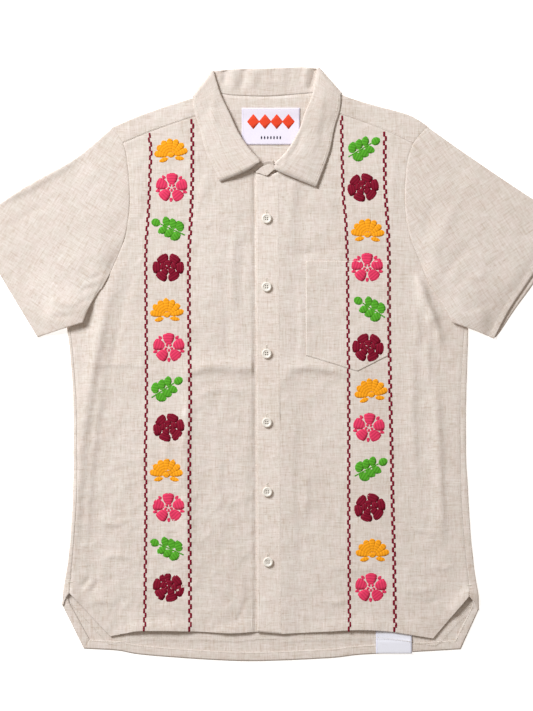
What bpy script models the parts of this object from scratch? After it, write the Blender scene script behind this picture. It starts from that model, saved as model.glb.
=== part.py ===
"""A short-sleeved guayabera shirt of slubby linen, laid flat on its back with its fronts up.

Every piece is cut and placed as a maker would: yoke over the shoulders, back wrapped round the sides to the
side seams, fronts, buttonhole band, sleeves as flattened tubes, one-piece collar turned over on itself.
X runs across to the wearer's left, Y up to the collar, Z up from the surface that the shirt lies on. The
origin is under the middle of the shirt. A piece's sheet is the middle of its wall, which Solidify gives.
"""

import math

import bmesh
import bpy
import numpy as np

MM = 0.001  # every size below is in millimetres

# Walls and the gap that parts two pieces
LINEN_WALL = 1.2
COLLAR_WALL = 1.0
PLACKET_WALL = 1.6
PATCH_WALL = 1.0
GAP = 0.3

# Heights of the middle of a wall, from the surface up
FOLD = 2.3  # from the lower to the upper layer of linen where it folds over
BACK_HEIGHT = LINEN_WALL / 2
FRONT_HEIGHT = BACK_HEIGHT + FOLD
UNDERLAP_HEIGHT = 1.5 * LINEN_WALL + GAP
PLACKET_HEIGHT = UNDERLAP_HEIGHT + LINEN_WALL / 2 + GAP + PLACKET_WALL / 2
ON_LINEN = (LINEN_WALL + PATCH_WALL) / 2 + GAP  # from a panel to a patch that lies on it
COLLAR_FLOOR = COLLAR_WALL / 2

# Round the neck the collar's turned-down half lies under the yoke and lifts what is over it
NECK_LIFT = 1.6
NECK_LIFT_FROM, NECK_LIFT_FULL = 311.0, 328.0
NECK_LIFT_WIDE, NECK_LIFT_END = 100.0, 120.0
# Across the middle the right front sinks under the band, and the left front rises level with it
FRONTS_PART = 11.5
SINK_FROM, SINK_FULL = -33.0, -17.0
LEVEL_FROM, LEVEL_FULL = 46.0, 18.0
BAND_FOLDS = 0.3  # how much of the folds is left at the band
# The left front's hem rises over the folded tab
TAB_LIFT, TAB_LIFT_WIDE, TAB_LIFT_FROM, TAB_LIFT_EASE = 0.8, 52.0, -318.0, 20.0

# The two sides: which way each lies from the middle
SIDES = {"right": -1, "left": 1}

# Body from the side vent up to the underarm: up the shirt, the outline where the back folds over, the seam
SIDE = {
    "right": [(-293.0, -262.0, -254.0), (-276.0, -259.8, -252.7), (-251.0, -255.4, -250.6),
              (-212.0, -250.9, -247.6), (-165.0, -247.8, -244.8), (-110.0, -247.7, -244.7),
              (-46.0, -248.8, -245.8), (14.0, -253.2, -250.0), (58.5, -258.6, -255.2)],
    "left": [(-297.0, 268.3, 257.3), (-282.0, 266.6, 257.3), (-255.0, 263.0, 254.3),
             (-211.0, 258.7, 250.5), (-165.0, 255.9, 247.5), (-112.0, 253.2, 246.6),
             (-46.0, 253.3, 246.4), (0.0, 254.7, 248.4), (58.5, 256.5, 252.4)],
}
# Back hem between its cut corners, and the edge of each back vent from its cut corner up
BACK_HEM = [(-235.9, -364.5), (-192.6, -367.0), (-160.0, -372.4), (-71.7, -378.9), (-10.2, -380.4),
            (78.1, -376.7), (117.8, -372.4), (183.7, -369.0), (246.8, -365.4)]
BACK_VENT = {"right": [(-235.9, -364.5), (-263.7, -308.5), (-262.0, -293.0)],
             "left": [(246.8, -365.4), (269.7, -314.9), (268.3, -297.0)]}
# Front hem from its cut corner to the middle; the slant of the vent runs from the corner to the side seam
FRONT_HEM = {
    "right": [(-201.6, -348.7), (-181.8, -344.7), (-160.0, -341.7), (-93.4, -342.5), (-49.9, -344.7),
              (-17.0, -342.9)],
    "left": [(211.2, -351.4), (188.2, -347.6), (154.9, -342.5), (117.8, -340.5), (78.1, -342.5),
             (33.3, -344.7), (17.3, -345.5)],
}
# Armholes from the shoulder down to where the sleeve's fold hides them, then on to the underarm
ARMHOLE = {
    "right": [(-199.8, 301.5), (-185.6, 283.0), (-178.9, 246.0), (-177.4, 206.0), (-183.0, 164.0),
              (-199.7, 121.6), (-212.5, 97.3)],
    "left": [(203.6, 303.5), (185.9, 282.1), (178.0, 255.0), (175.6, 205.0), (182.5, 162.0),
             (196.5, 126.0), (206.7, 102.1)],
}
UNDERARM = {"right": [(-212.5, 97.3), (-226.0, 88.0), (-242.0, 73.0)],
            "left": [(206.7, 102.1), (220.0, 91.0), (236.0, 75.0)]}
# Shoulder line from the neck to the armhole, and on along the sleeve to the cuff
SHOULDER = {"right": [(-80.6, 344.6), (-95.5, 339.6), (-153.6, 320.5), (-199.8, 301.5)],
            "left": [(78.0, 348.6), (92.7, 343.2), (132.4, 330.6), (179.2, 317.6), (203.6, 303.5)]}
SLEEVE_TOP = {
    "right": [(-199.8, 301.5), (-248.3, 261.5), (-310.0, 226.0), (-381.5, 180.5)],
    "left": [(203.6, 303.5), (252.7, 269.0), (301.7, 235.6), (381.5, 182.5)],
}
# The sleeve's underarm fold: over the body first, then clear of it to the cuff
SLEEVE_OVER_BODY = {"right": [(-212.5, 97.3), (-222.2, 84.2), (-230.4, 69.5), (-236.8, 53.2)],
                    "left": [(206.7, 102.1), (220.2, 81.4), (230.8, 62.7), (235.6, 53.6)]}
SLEEVE_UNDER = {"right": [(-236.8, 53.2), (-258.2, 46.6), (-295.4, 34.6)],
                "left": [(235.6, 53.6), (265.9, 42.6), (289.5, 32.9)]}
CUFF = {"right": [(-381.5, 180.5), (-343.0, 113.9), (-295.4, 34.6)],
        "left": [(381.5, 182.5), (339.2, 113.9), (310.0, 70.8), (289.5, 32.9)]}
# How far the under layer of the cuff shows past the upper one
CUFF_SHOWS = {"right": 0.0, "left": 7.0}

# Yoke seams on the fronts, from the armhole to the neck, and the level of the one across the back
YOKE_SEAM = {"right": [(-185.6, 283.0), (-153.6, 296.3), (-122.9, 307.3), (-79.0, 322.0)],
             "left": [(185.9, 282.1), (145.8, 301.1), (92.3, 320.0), (76.6, 324.5)]}
BACK_YOKE_LEVEL = 238.0
# Neck edge: across the back between the shoulder lines, and down each front
BACK_NECK = [(-80.6, 344.6), (-60.7, 346.0), (-44.0, 343.9), (0.0, 342.6), (45.3, 346.0), (78.0, 348.6)]
YOKE_NECK = {"right": [(-80.6, 344.6), (-80.6, 334.0), (-79.0, 322.0)],
             "left": [(78.0, 348.6), (78.0, 337.0), (76.6, 324.5)]}
FRONT_NECK = {
    "right": [(-79.0, 322.0), (-73.0, 303.0), (-61.0, 281.0), (-43.0, 262.5), (-15.4, 245.6)],
    "left": [(76.6, 324.5), (71.5, 307.0), (60.0, 285.0), (43.0, 266.5), (13.2, 246.0)],
}
UNDERLAP_NECK = [(-15.4, 245.6), (-3.0, 246.2), (9.0, 247.0)]
PLACKET_NECK = [(-15.2, 243.9), (0.0, 241.4), (13.2, 246.0)]
# Edges of the buttonhole band and of the underlap below it, at the neck and at the hem
PLACKET_EDGE = [(-15.2, 243.9), (-13.4, -343.0)]
UNDERLAP_HEM = [(-17.0, -342.9), (10.0, -343.0)]
PLACKET_SEAM = [(13.2, 246.0), (17.3, -345.5)]
UNDERLAP_EDGE = [(9.0, 247.0), (10.0, -343.0)]

# Largest folds of the fronts: the two ends of each crest, how wide it is to either side, how high it stands
FRONT_FOLDS = [
    # from            to                 width  rise
    ((-184.0, 122.0), (-207.0, 62.0), 9.0, 2.8),
    ((-206.0, 66.0), (-213.0, 10.0), 9.0, 2.0),
    ((198.0, 98.0), (219.0, 34.0), 7.5, 2.2),
    ((192.0, 112.0), (189.0, 44.0), 9.0, 1.6),
    ((-228.0, -8.0), (-42.0, -11.0), 8.0, 1.5),
    ((22.0, -10.0), (104.0, -8.0), 8.0, 1.3),
    ((31.0, 228.0), (24.0, 160.0), 8.0, 1.8),
    ((-118.0, -70.0), (-104.0, -250.0), 26.0, 1.2),
    ((116.0, 20.0), (128.0, -230.0), 28.0, 1.2),
    ((-60.0, 190.0), (-74.0, 60.0), 22.0, 1.0),
]
# The sleeves stand a little higher along their middle, over this much of a half wave from the armhole out
SLEEVE_PUFF = 1.6
SLEEVE_PUFF_FROM, SLEEVE_PUFF_TO = 0.12, 0.8
# The sleeve's under layer climbs onto the body over this stretch before the body's edge
CLIMB_FROM, CLIMB_FULL = 32.0, 12.0
OVER_BODY = LINEN_WALL + 4 * GAP
# The under layer slides out past the upper one over the last part of the sleeve
CUFF_SLIDE_POWER = 6

# Collar sections round the neck: where the collar turns over, its outer edge, and how high its stand and
# its leaf are at the turn, and its edge. Each front's run from the middle up, the back's from right to left
COLLAR = {
    "right": [
        # turn           edge             stand  leaf  edge
        ((-9.6, 259.5), (-61.4, 233.0), 3.2, 6.4, 5.0),
        ((-27.5, 280.0), (-79.0, 269.5), 3.8, 6.3, 4.8),
        ((-39.7, 299.5), (-86.5, 297.0), 4.0, 6.3, 4.8),
        ((-50.0, 322.0), (-92.3, 316.0), 4.3, 6.5, 5.1),
        ((-61.4, 346.5), (-95.5, 331.0), 4.5, 6.7, 6.3),
        ((-70.2, 375.0), (-94.7, 341.0), 4.7, 6.8, 6.5),
    ],
    "back": [
        ((-70.2, 375.0), (-94.8, 340.8), 2.8, 0.9, COLLAR_FLOOR),
        ((-41.0, 377.6), (-58.0, 331.0), 3.6, 1.1, COLLAR_FLOOR),
        ((0.0, 378.3), (0.0, 330.0), 4.2, 1.3, COLLAR_FLOOR),
        ((42.0, 379.8), (58.0, 332.0), 3.6, 1.1, COLLAR_FLOOR),
        ((63.0, 378.4), (92.6, 343.8), 2.8, 0.9, COLLAR_FLOOR),
    ],
    "left": [
        ((9.4, 254.4), (62.3, 226.2), 4.6, 7.2, 5.1),
        ((24.5, 272.8), (78.5, 270.0), 4.5, 6.9, 5.0),
        ((40.2, 299.5), (85.5, 303.0), 4.2, 6.5, 4.9),
        ((47.6, 321.7), (91.0, 320.5), 4.3, 6.5, 5.3),
        ((57.6, 346.0), (93.2, 334.0), 4.5, 6.7, 6.4),
        ((63.0, 378.4), (92.9, 344.2), 4.7, 6.8, 6.5),
    ],
}
# Which way each line of the collar bulges where it folds over at the side of the neck, on the left
COLLAR_TURNS = {"stand": (0.34, 0.94), "roll_in": (0.94, 0.34), "roll_out": (0.94, 0.34),
                "edge": (0.8, 0.6)}
LEAF_FRONT = {"right": [(-9.6, 259.5), (-17.0, 253.0), (-31.6, 244.5), (-61.4, 233.0)],
              "left": [(9.4, 254.4), (10.6, 247.8), (29.2, 239.4), (62.3, 226.2)]}
# Top of the stand past the leaves, from its end in, with its height: the left end lies over the right one
STAND_END = {"right": [(7.5, 260.3, 2.3), (-2.5, 257.0, 2.5)],
             "left": [(-15.6, 247.2, 3.9), (-3.6, 251.6, 4.1)]}
LEAF_CROWN = 0.5
NECK_CORNER_GAP = 0.45  # more room at the seam where yoke and stand fold over together

# Turned hem inside the back hem and vents, and how far past the vent's corner it goes
FACING_WIDTH = 12.0
FACING_SETBACK = 0.8
FACING_HEIGHT = LINEN_WALL + GAP + PATCH_WALL / 2
FACING_END_IN, FACING_END_UP = 0.6, 6.0

# Patch pocket on the wearer's left front
POCKET_LEFT, POCKET_RIGHT = 48.5, 155.0
POCKET_TOP, POCKET_CORNER, POCKET_POINT = 132.0, 11.0, -9.5
POCKET_POINT_AT = 0.62  # across the pocket
# A patch rides on the highest cloth within this reach of each of its points, across and up
PATCH_REACH = (6.0, 7.0)

# Label inside the back neck, and the folded tab under the front hem with the stretch where it drops
LABEL_SIZE = (74.6, 47.2)
LABEL_MIDDLE = (3.7, 304.3)
TAB_LEFT, TAB_RIGHT = 138.2, 184.3
TAB_TOP, TAB_BOTTOM = -337.0, -370.6
TAB_DROP_FROM, TAB_DROP_TO = -350.0, -357.0

# Buttons: 20 line, four holes
BUTTON_RADIUS = 6.35
BUTTON_HEIGHT = 2.8
BUTTON_WELL, BUTTON_WELL_DEEP = 4.0, 0.7
BUTTON_WELL_SLOPE, BUTTON_RIM_ROUND, BUTTON_EDGE_DROP, BUTTON_FOOT_IN = 0.45, 0.6, 1.0, 1.4
BUTTON_HOLE, BUTTON_HOLE_OUT = 0.8, 1.3
BUTTON_SIDES, HOLE_SIDES = 16, 6
BUTTONS = [(-1.7, 186.1), (-1.7, 98.7), (-1.7, 13.3), (-1.4, -74.8), (-0.8, -163.6), (0.1, -253.3)]

# How many cells the sheets have
SIDE_CELLS, UNDERARM_CELLS, ARMHOLE_CELLS, BACK_YOKE_CELLS, SHOULDER_CELLS = 18, 4, 8, 3, 2
VENT_CELLS, YOKE_CELLS, UNDERLAP_CELLS, PLACKET_CELLS = 3, 6, 2, 2
NECK_CELLS = {"right": 5, "left": 7}
BACK_COLUMNS, BACK_NECK_CELLS, FOLD_CELLS, SLEEVE_CELLS, SLEEVE_OVER_CELLS = 12, 8, 3, 9, 4
STAND_CELLS, ROLL_CELLS, LEAF_CELLS = 3, 4, 4
FACING_HEM_CELLS, FACING_VENT_CELLS = 14, 3
POCKET_COLUMNS, POCKET_ROWS = 6, 7

LINEN_COLOUR = (0.74, 0.67, 0.58)
LABEL_COLOUR = (0.86, 0.82, 0.88)
BUTTON_COLOUR = (0.85, 0.80, 0.73)


def smooth(points, steps=12):
    """The smooth curve through the points, as a line of short straight steps (Catmull-Rom)."""
    points = np.asarray(points, float)
    if len(points) == 2:
        return points[0] + (points[1] - points[0]) * np.linspace(0, 1, steps + 1)[:, None]
    ends = 2 * points[[0, -1]] - points[[1, -2]]
    p = np.vstack([ends[:1], points, ends[1:]])
    t = np.linspace(0, 1, steps, endpoint=False)[:, None]
    spans = [
        0.5 * (2 * b + (c - a) * t + (2 * a - 5 * b + 4 * c - d) * t**2 + (3 * b - a - 3 * c + d) * t**3)
        for a, b, c, d in zip(p, p[1:], p[2:], p[3:])
    ]
    return np.vstack(spans + [points[-1:]])


def evenly(line, cells):
    """The line cut into equal cells by its length."""
    line = np.asarray(line, float)
    along = np.concatenate([[0], np.cumsum(np.linalg.norm(np.diff(line, axis=0), axis=1))])
    at = np.linspace(0, along[-1], cells + 1)
    return np.stack([np.interp(at, along, line[:, k]) for k in range(line.shape[1])], axis=1)


def divide(points, cells):
    """The smooth curve through the points, in equal cells."""
    return evenly(smooth(points), cells)


def chain(*lines):
    """Lines joined end to end, each starting where the last one ends."""
    return np.vstack([lines[0]] + [line[1:] for line in lines[1:]])


def unit(vectors):
    """Vectors of length one."""
    return vectors / np.maximum(np.linalg.norm(vectors, axis=-1, keepdims=True), 1e-9)


def ease(t):
    """A smooth step from 0 to 1."""
    t = np.clip(t, 0, 1)
    return t * t * (3 - 2 * t)


def patch(bottom, top, left, right):
    """A sheet between four edges: rows run from bottom to top and columns from left to right (Coons)."""
    u = np.linspace(0, 1, len(bottom))[None, :, None]
    v = np.linspace(0, 1, len(left))[:, None, None]
    across = (1 - v) * bottom[None] + v * top[None]
    upward = (1 - u) * left[:, None] + u * right[:, None]
    corners = ((1 - u) * (1 - v) * bottom[0] + u * (1 - v) * bottom[-1]
               + (1 - u) * v * top[0] + u * v * top[-1])
    return across + upward - corners


def raised(plan, height):
    """Plan points with their heights as a third coordinate."""
    height = np.broadcast_to(height, plan.shape[:-1])
    return np.concatenate([plan, height[..., None]], axis=-1)


def drawn_in(grid, *edges):
    """The sheet with the named edges moved in by half the gap of a seam, square to each edge."""
    grid = grid.copy()
    lines = {
        "bottom": (grid[0], grid[1]),
        "top": (grid[-1], grid[-2]),
        "left": (grid[:, 0], grid[:, 1]),
        "right": (grid[:, -1], grid[:, -2]),
    }
    for edge in edges:
        line, inner = lines[edge]
        along = unit(np.gradient(line, axis=0))
        inward = inner - line
        inward = inward - along * (inward * along).sum(axis=-1, keepdims=True)
        line += unit(inward) * GAP / 2
    return grid


def outward_of(line, away_from):
    """Plan directions square to a line, on the side away from a point."""
    along = unit(np.gradient(line, axis=0))
    square = np.stack([-along[:, 1], along[:, 0]], axis=1)
    facing = ((line - np.asarray(away_from)) * square).sum(axis=1, keepdims=True)
    return square * np.sign(facing)


def turn(lower, upper, outward, cells=FOLD_CELLS):
    """The rounded fold from one line up or down to another: half circles, without their two ends."""
    angles = np.linspace(0, math.pi, cells + 1)[1:-1]
    middle, half = (lower + upper) / 2, (upper - lower) / 2
    reach = np.linalg.norm(half, axis=-1, keepdims=True)
    bulge = np.concatenate([outward, np.zeros_like(outward[..., :1])], axis=-1) * reach
    return [middle - half * math.cos(a) + bulge * math.sin(a) for a in angles]


def inside_line(x, y, line):
    """Distance of plan points from a line, positive on its right hand side."""
    best = np.full(np.shape(x), 1e9)
    sign = np.ones(np.shape(x))
    for (ax, ay), (bx, by) in zip(line, line[1:]):
        dx, dy = bx - ax, by - ay
        t = np.clip(((x - ax) * dx + (y - ay) * dy) / (dx * dx + dy * dy), 0, 1)
        away = np.hypot(x - ax - t * dx, y - ay - t * dy)
        side = np.where((x - ax) * dy - (y - ay) * dx >= 0, 1.0, -1.0)
        sign = np.where(away < best, side, sign)
        best = np.minimum(best, away)
    return best * sign


def neck_lift(x, y):
    """How far the collar's turned-down half lifts the yoke and the fronts over it."""
    up = ease((y - NECK_LIFT_FROM) / (NECK_LIFT_FULL - NECK_LIFT_FROM))
    across = 1 - ease((np.abs(x) - NECK_LIFT_WIDE) / (NECK_LIFT_END - NECK_LIFT_WIDE))
    return NECK_LIFT * up * across


def back_height(x, y):
    """Middle of the wall of the back and of the yoke where it lies on the surface."""
    return BACK_HEIGHT + neck_lift(x, y)


def folds(x, y, table):
    """Soft crests along straight lines: a bell across each, faded out at its ends."""
    rise = np.zeros(np.shape(x))
    for (ax, ay), (bx, by), width, height in table:
        dx, dy = bx - ax, by - ay
        along = ((x - ax) * dx + (y - ay) * dy) / (dx * dx + dy * dy)
        t = np.clip(along, 0, 1)
        away = np.hypot(x - ax - t * dx, y - ay - t * dy)
        rise = rise + height * np.exp(-((away / width) ** 2))
    return rise


def front_height(x, y):
    """Middle of the wall of the fronts: flat on the back, with its folds, and level with the band or
    under it at the middle."""
    height = FRONT_HEIGHT + neck_lift(x, y)
    underlap = ease((x - SINK_FROM) / (SINK_FULL - SINK_FROM)) * (x < FRONTS_PART)
    band = ease((x - LEVEL_FROM) / (LEVEL_FULL - LEVEL_FROM)) * (x >= FRONTS_PART)
    height = height + (UNDERLAP_HEIGHT - height) * underlap + (PLACKET_HEIGHT - height) * band
    from_tab = np.abs(x - (TAB_LEFT + TAB_RIGHT) / 2)
    tab = ease((TAB_LIFT_WIDE - from_tab) / TAB_LIFT_EASE) * ease((TAB_LIFT_FROM - y) / TAB_LIFT_EASE)
    rise = folds(x, y, FRONT_FOLDS) * (1 - underlap) * (1 - (1 - BAND_FOLDS) * band)
    return height + rise + TAB_LIFT * tab


def laid_on(plan, height_below):
    """A patch lying on the cloth below, clear of its highest point round each of the patch's points."""
    x, y = plan[..., 0], plan[..., 1]
    across, up = PATCH_REACH
    around = [height_below(x + dx, y + dy) for dx in (-across, 0, across) for dy in (-up, 0, up)]
    return raised(plan, np.max(around, axis=0) + ON_LINEN)


def finish(obj, colour, roughness):
    """A material of the object's own."""
    made = bpy.data.materials.new(f"{obj.name}_finish")
    made.use_nodes = True
    shader = made.node_tree.nodes["Principled BSDF"]
    shader.inputs["Base Color"].default_value = (*colour, 1)
    shader.inputs["Roughness"].default_value = roughness
    shader.inputs["Metallic"].default_value = 0.0
    obj.data.materials.append(made)


def cloth(name, points, wall, colour=LINEN_COLOUR, cut=None, closed=False):
    """A sheet of cloth: a flat grid whose points are sent to their places, with a wall from Solidify.

    points is rows by columns by X, Y, Z. Cells where cut is true are left out. A closed sheet is a tube.
    """
    rows, columns = points.shape[:2]
    sheet = bmesh.new()
    bmesh.ops.create_grid(sheet, x_segments=columns - 1, y_segments=rows - 1, size=1)

    def place(at):
        return (at.y + 1) / 2 * (rows - 1), (at.x + 1) / 2 * (columns - 1)

    if cut is not None:
        middles = [(face, place(face.calc_center_median())) for face in sheet.faces]
        left_out = [face for face, (row, column) in middles if cut[int(row), int(column)]]
        bmesh.ops.delete(sheet, geom=left_out, context="FACES")
    for vert in sheet.verts:
        row, column = (round(value) for value in place(vert.co))
        vert.co = points[row, column] * MM
    if closed:
        bmesh.ops.remove_doubles(sheet, verts=sheet.verts, dist=1e-6)
    mesh = bpy.data.meshes.new(name)
    sheet.to_mesh(mesh)
    sheet.free()
    obj = bpy.data.objects.new(name, mesh)
    shirt.objects.link(obj)
    solidify = obj.modifiers.new("wall", "SOLIDIFY")
    solidify.thickness = wall * MM
    solidify.offset = 0
    solidify.use_even_offset = True
    finish(obj, colour, 0.9)
    mesh.shade_smooth()
    return obj


def side_lines(side):
    """Outline and seam of one side of the body, from the vent up, with the same cells."""
    table = np.array(SIDE[side])
    return divide(table[:, [1, 0]], SIDE_CELLS), divide(table[:, [2, 0]], SIDE_CELLS)


def armhole_line(side):
    """Armhole from the shoulder down: the yoke's cells on the front and back, then those of the back."""
    seam_level = YOKE_SEAM[side][0][1]
    line = smooth(ARMHOLE[side])
    cuts = [0] + [int(np.argmin(np.abs(line[:, 1] - y))) for y in (seam_level, BACK_YOKE_LEVEL)]
    cuts.append(len(line) - 1)
    counts = (SHOULDER_CELLS, BACK_YOKE_CELLS, ARMHOLE_CELLS)
    return chain(*(evenly(line[a : b + 1], n) for a, b, n in zip(cuts, cuts[1:], counts)))


def make_back_panel():
    """The back below the yoke: flat on the surface, folded over at each side as far as the side seam."""
    edges, wraps = {}, {}
    for side in SIDES:
        outline, seam = side_lines(side)
        inner = -SIDES[side] * np.array([FOLD / 2, 0])
        tangent = outline + inner
        arm = armhole_line(side)[SHOULDER_CELLS + BACK_YOKE_CELLS :][::-1]
        under = divide([tangent[-1]] + UNDERARM[side][::-1], UNDERARM_CELLS)
        vent = divide(BACK_VENT[side][:2], VENT_CELLS)
        edges[side] = chain(vent, np.array([vent[-1], tangent[0]]), tangent, under, arm)
        lower = raised(tangent, BACK_HEIGHT)
        upper = raised(tangent, FRONT_HEIGHT)
        rows = turn(lower, upper, np.sign(-inner) * [1, 0] + np.zeros_like(tangent))
        wraps[side] = rows + [upper, raised(seam, FRONT_HEIGHT)]
    bottom = divide(BACK_HEM, BACK_COLUMNS)
    top = evenly([edges["right"][-1], edges["left"][-1]], BACK_COLUMNS)
    flat = patch(bottom, top, edges["right"], edges["left"])
    flat = raised(flat, back_height(flat[..., 0], flat[..., 1]))
    flat = drawn_in(flat, "top")
    low = VENT_CELLS + 1
    high = low + SIDE_CELLS

    def wrap(side):
        strip = np.repeat(flat[:, [0 if side == "right" else -1]], FOLD_CELLS + 1, axis=1)
        strip[low : high + 1] = np.stack(wraps[side], axis=1)
        whole = np.concatenate([flat[:, [0]] if side == "right" else flat[:, [-1]], strip], axis=1)
        whole[low : high + 1] = drawn_in(whole[low : high + 1], "right")
        return whole[:, 1:]

    points = np.concatenate([wrap("right")[:, ::-1], flat, wrap("left")], axis=1)
    cut = np.zeros((points.shape[0] - 1, points.shape[1] - 1), bool)
    for columns in (slice(0, FOLD_CELLS + 1), slice(-FOLD_CELLS - 1, None)):
        cut[:low, columns] = True
        cut[high:, columns] = True
    armholes = points[high:, FOLD_CELLS + 1 : -FOLD_CELLS - 1]
    points[high:, FOLD_CELLS + 1 : -FOLD_CELLS - 1] = drawn_in(armholes, "left", "right")
    return cloth("back_panel", points, LINEN_WALL, cut=cut)


def make_yoke():
    """The yoke in one piece: across the back, over both shoulders, down to the seams on the fronts."""
    arms = {side: armhole_line(side) for side in SIDES}
    shoulders = {side: divide(SHOULDER[side], YOKE_CELLS) for side in SIDES}
    neck = divide(BACK_NECK, BACK_NECK_CELLS)
    top = chain(shoulders["right"][::-1], neck, shoulders["left"])
    corner = SHOULDER_CELLS + BACK_YOKE_CELLS
    bottom = evenly([arms["right"][corner], arms["left"][corner]], len(top) - 1)
    back = patch(bottom, top, arms["right"][corner::-1], arms["left"][corner::-1])
    back = raised(back, back_height(back[..., 0], back[..., 1]))
    back = drawn_in(back, "bottom", "left", "right")
    strips = {}
    for side in SIDES:
        fold_line = shoulders[side]
        down_arm = arms[side][: SHOULDER_CELLS + 1]
        down_neck = divide(YOKE_NECK[side], SHOULDER_CELLS)
        seam = divide(YOKE_SEAM[side], YOKE_CELLS)[::-1]
        front = patch(fold_line, seam, down_neck, down_arm)
        front = raised(front, FRONT_HEIGHT + neck_lift(front[..., 0], front[..., 1]))
        lower = raised(fold_line, back_height(fold_line[:, 0], fold_line[:, 1]))
        over = turn(lower, front[0], outward_of(fold_line, (0, 0)))
        strip = np.stack([lower] + over + list(front))
        strips[side] = drawn_in(strip, "left", "right", "top")
    columns = [strips["right"][:, ::-1], np.repeat(raised(neck, 0)[None], len(strips["left"]), axis=0),
               strips["left"]]
    above = np.concatenate([columns[0], columns[1][:, 1:-1], columns[2]], axis=1)
    first, last = YOKE_CELLS, YOKE_CELLS + BACK_NECK_CELLS
    neck_edge = drawn_in(back[:, first : last + 1], "top")
    back[:, first + 1 : last] = neck_edge[:, 1:-1]
    back[-1, : first + 1] = above[0, : first + 1]
    back[-1, last:] = above[0, last:]
    above[1:, first + 1 : last] = back[-1, first + 1 : last]
    points = np.concatenate([back, above[1:]], axis=0)
    cut = np.zeros((points.shape[0] - 1, points.shape[1] - 1), bool)
    cut[len(back) - 1 :, first:last] = True
    return cloth("yoke", points, LINEN_WALL, cut=cut)


def front_sheet(side):
    """One front as a sheet: vent and hem below, side seam and armhole outside, yoke seam and neck above,
    and the middle, under the band or up to its seam."""
    arm = armhole_line(side)[SHOULDER_CELLS:][::-1]
    seam = side_lines(side)[1]
    under = divide([tuple(seam[-1])] + UNDERARM[side][::-1], UNDERARM_CELLS)
    outer = chain(seam, under, arm)
    slant = evenly([seam[0], FRONT_HEM[side][0]], VENT_CELLS)
    bottom = chain(slant, divide(FRONT_HEM[side], YOKE_CELLS + NECK_CELLS[side] - VENT_CELLS))
    top = chain(divide(YOKE_SEAM[side], YOKE_CELLS), divide(FRONT_NECK[side], NECK_CELLS[side]))
    if side == "right":
        bottom = chain(bottom, evenly(UNDERLAP_HEM, UNDERLAP_CELLS))
        top = chain(top, divide(UNDERLAP_NECK, UNDERLAP_CELLS))
        middle = evenly(UNDERLAP_EDGE[::-1], len(outer) - 1)
    else:
        middle = evenly(PLACKET_SEAM[::-1], len(outer) - 1)
    plan = patch(bottom, top, outer, middle)
    points = raised(plan, front_height(plan[..., 0], plan[..., 1]))
    points[: SIDE_CELLS + 1, 0, 2] = FRONT_HEIGHT
    edges = ["top", "left"] if side == "right" else ["top", "left", "right"]
    return drawn_in(points, *edges)


def make_front(side):
    """One front of the shirt."""
    return cloth(f"{side}_front", front_sheet(side), LINEN_WALL)


def make_placket():
    """The buttonhole band down the wearer's left front, over the underlap of the right one."""
    rows = SIDE_CELLS + UNDERARM_CELLS + ARMHOLE_CELLS + BACK_YOKE_CELLS
    bottom = evenly([PLACKET_EDGE[1], PLACKET_SEAM[1]], PLACKET_CELLS)
    top = divide(PLACKET_NECK, PLACKET_CELLS)
    plan = patch(bottom, top, evenly(PLACKET_EDGE[::-1], rows), evenly(PLACKET_SEAM[::-1], rows))
    points = drawn_in(raised(plan, PLACKET_HEIGHT), "top", "right")
    return cloth("front_placket", points, PLACKET_WALL)


def make_sleeve(side):
    """A short sleeve: a tube laid flat, its underarm fold lying a little over the body."""
    arm = armhole_line(side)
    around = len(arm) - 1
    top = divide(SLEEVE_TOP[side], SLEEVE_CELLS)
    under = chain(divide(SLEEVE_OVER_BODY[side], SLEEVE_OVER_CELLS),
                  divide(SLEEVE_UNDER[side], SLEEVE_CELLS - SLEEVE_OVER_CELLS))
    cuff = divide(CUFF[side], around)
    middle = ((arm[0] + arm[-1]) / 2 + (cuff[0] + cuff[-1]) / 2) / 2
    radius = FOLD / 2
    top_in = top - outward_of(top, middle) * radius
    under_in = under - outward_of(under, middle) * radius
    top_in[0], under_in[0] = arm[0], arm[-1]
    cuff[0], cuff[-1] = top_in[-1], under_in[-1]
    front = patch(arm, cuff, top_in, under_in)
    back = front.copy()
    past = CUFF_SHOWS[side] * np.sqrt(np.sin(np.linspace(0, math.pi, around + 1)))
    slide = (np.arange(SLEEVE_CELLS + 1) / SLEEVE_CELLS)[:, None] ** CUFF_SLIDE_POWER
    back += (slide * past)[..., None] * unit(front[-1, around // 2] - front[-2, around // 2])
    outline = side_lines(side)[0]
    body_edge = np.vstack([smooth(UNDERARM[side] + [tuple(outline[-1])]), outline[-4]])
    body_edge = body_edge if side == "right" else body_edge[::-1]

    def under_height(plan):
        x, y = plan[..., 0], plan[..., 1]
        away = -inside_line(x, y, body_edge)
        climb = ease((CLIMB_FROM + away) / (CLIMB_FROM - CLIMB_FULL))
        return BACK_HEIGHT + (front_height(x, y) + OVER_BODY - BACK_HEIGHT) * climb

    lower = raised(back, under_height(back))
    across = np.sin(np.linspace(0, math.pi, around + 1))
    along = np.sin(np.linspace(SLEEVE_PUFF_FROM, SLEEVE_PUFF_TO, SLEEVE_CELLS + 1) * math.pi)
    along[0] = 0
    upper = raised(front, under_height(front) + FOLD + SLEEVE_PUFF * along[:, None] * across)
    under_fold = turn(upper[:, -1], lower[:, -1], outward_of(under_in, middle))
    top_fold = turn(lower[:, 0], upper[:, 0], outward_of(top_in, middle))
    ring = ([upper[:, k] for k in range(around + 1)] + under_fold
            + [lower[:, k] for k in range(around, -1, -1)] + top_fold + [upper[:, 0]])
    points = np.stack(ring, axis=1)
    points = drawn_in(points, "bottom")
    points[:, -1] = points[:, 0]
    return cloth(f"{side}_sleeve", points, LINEN_WALL, closed=True)


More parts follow.
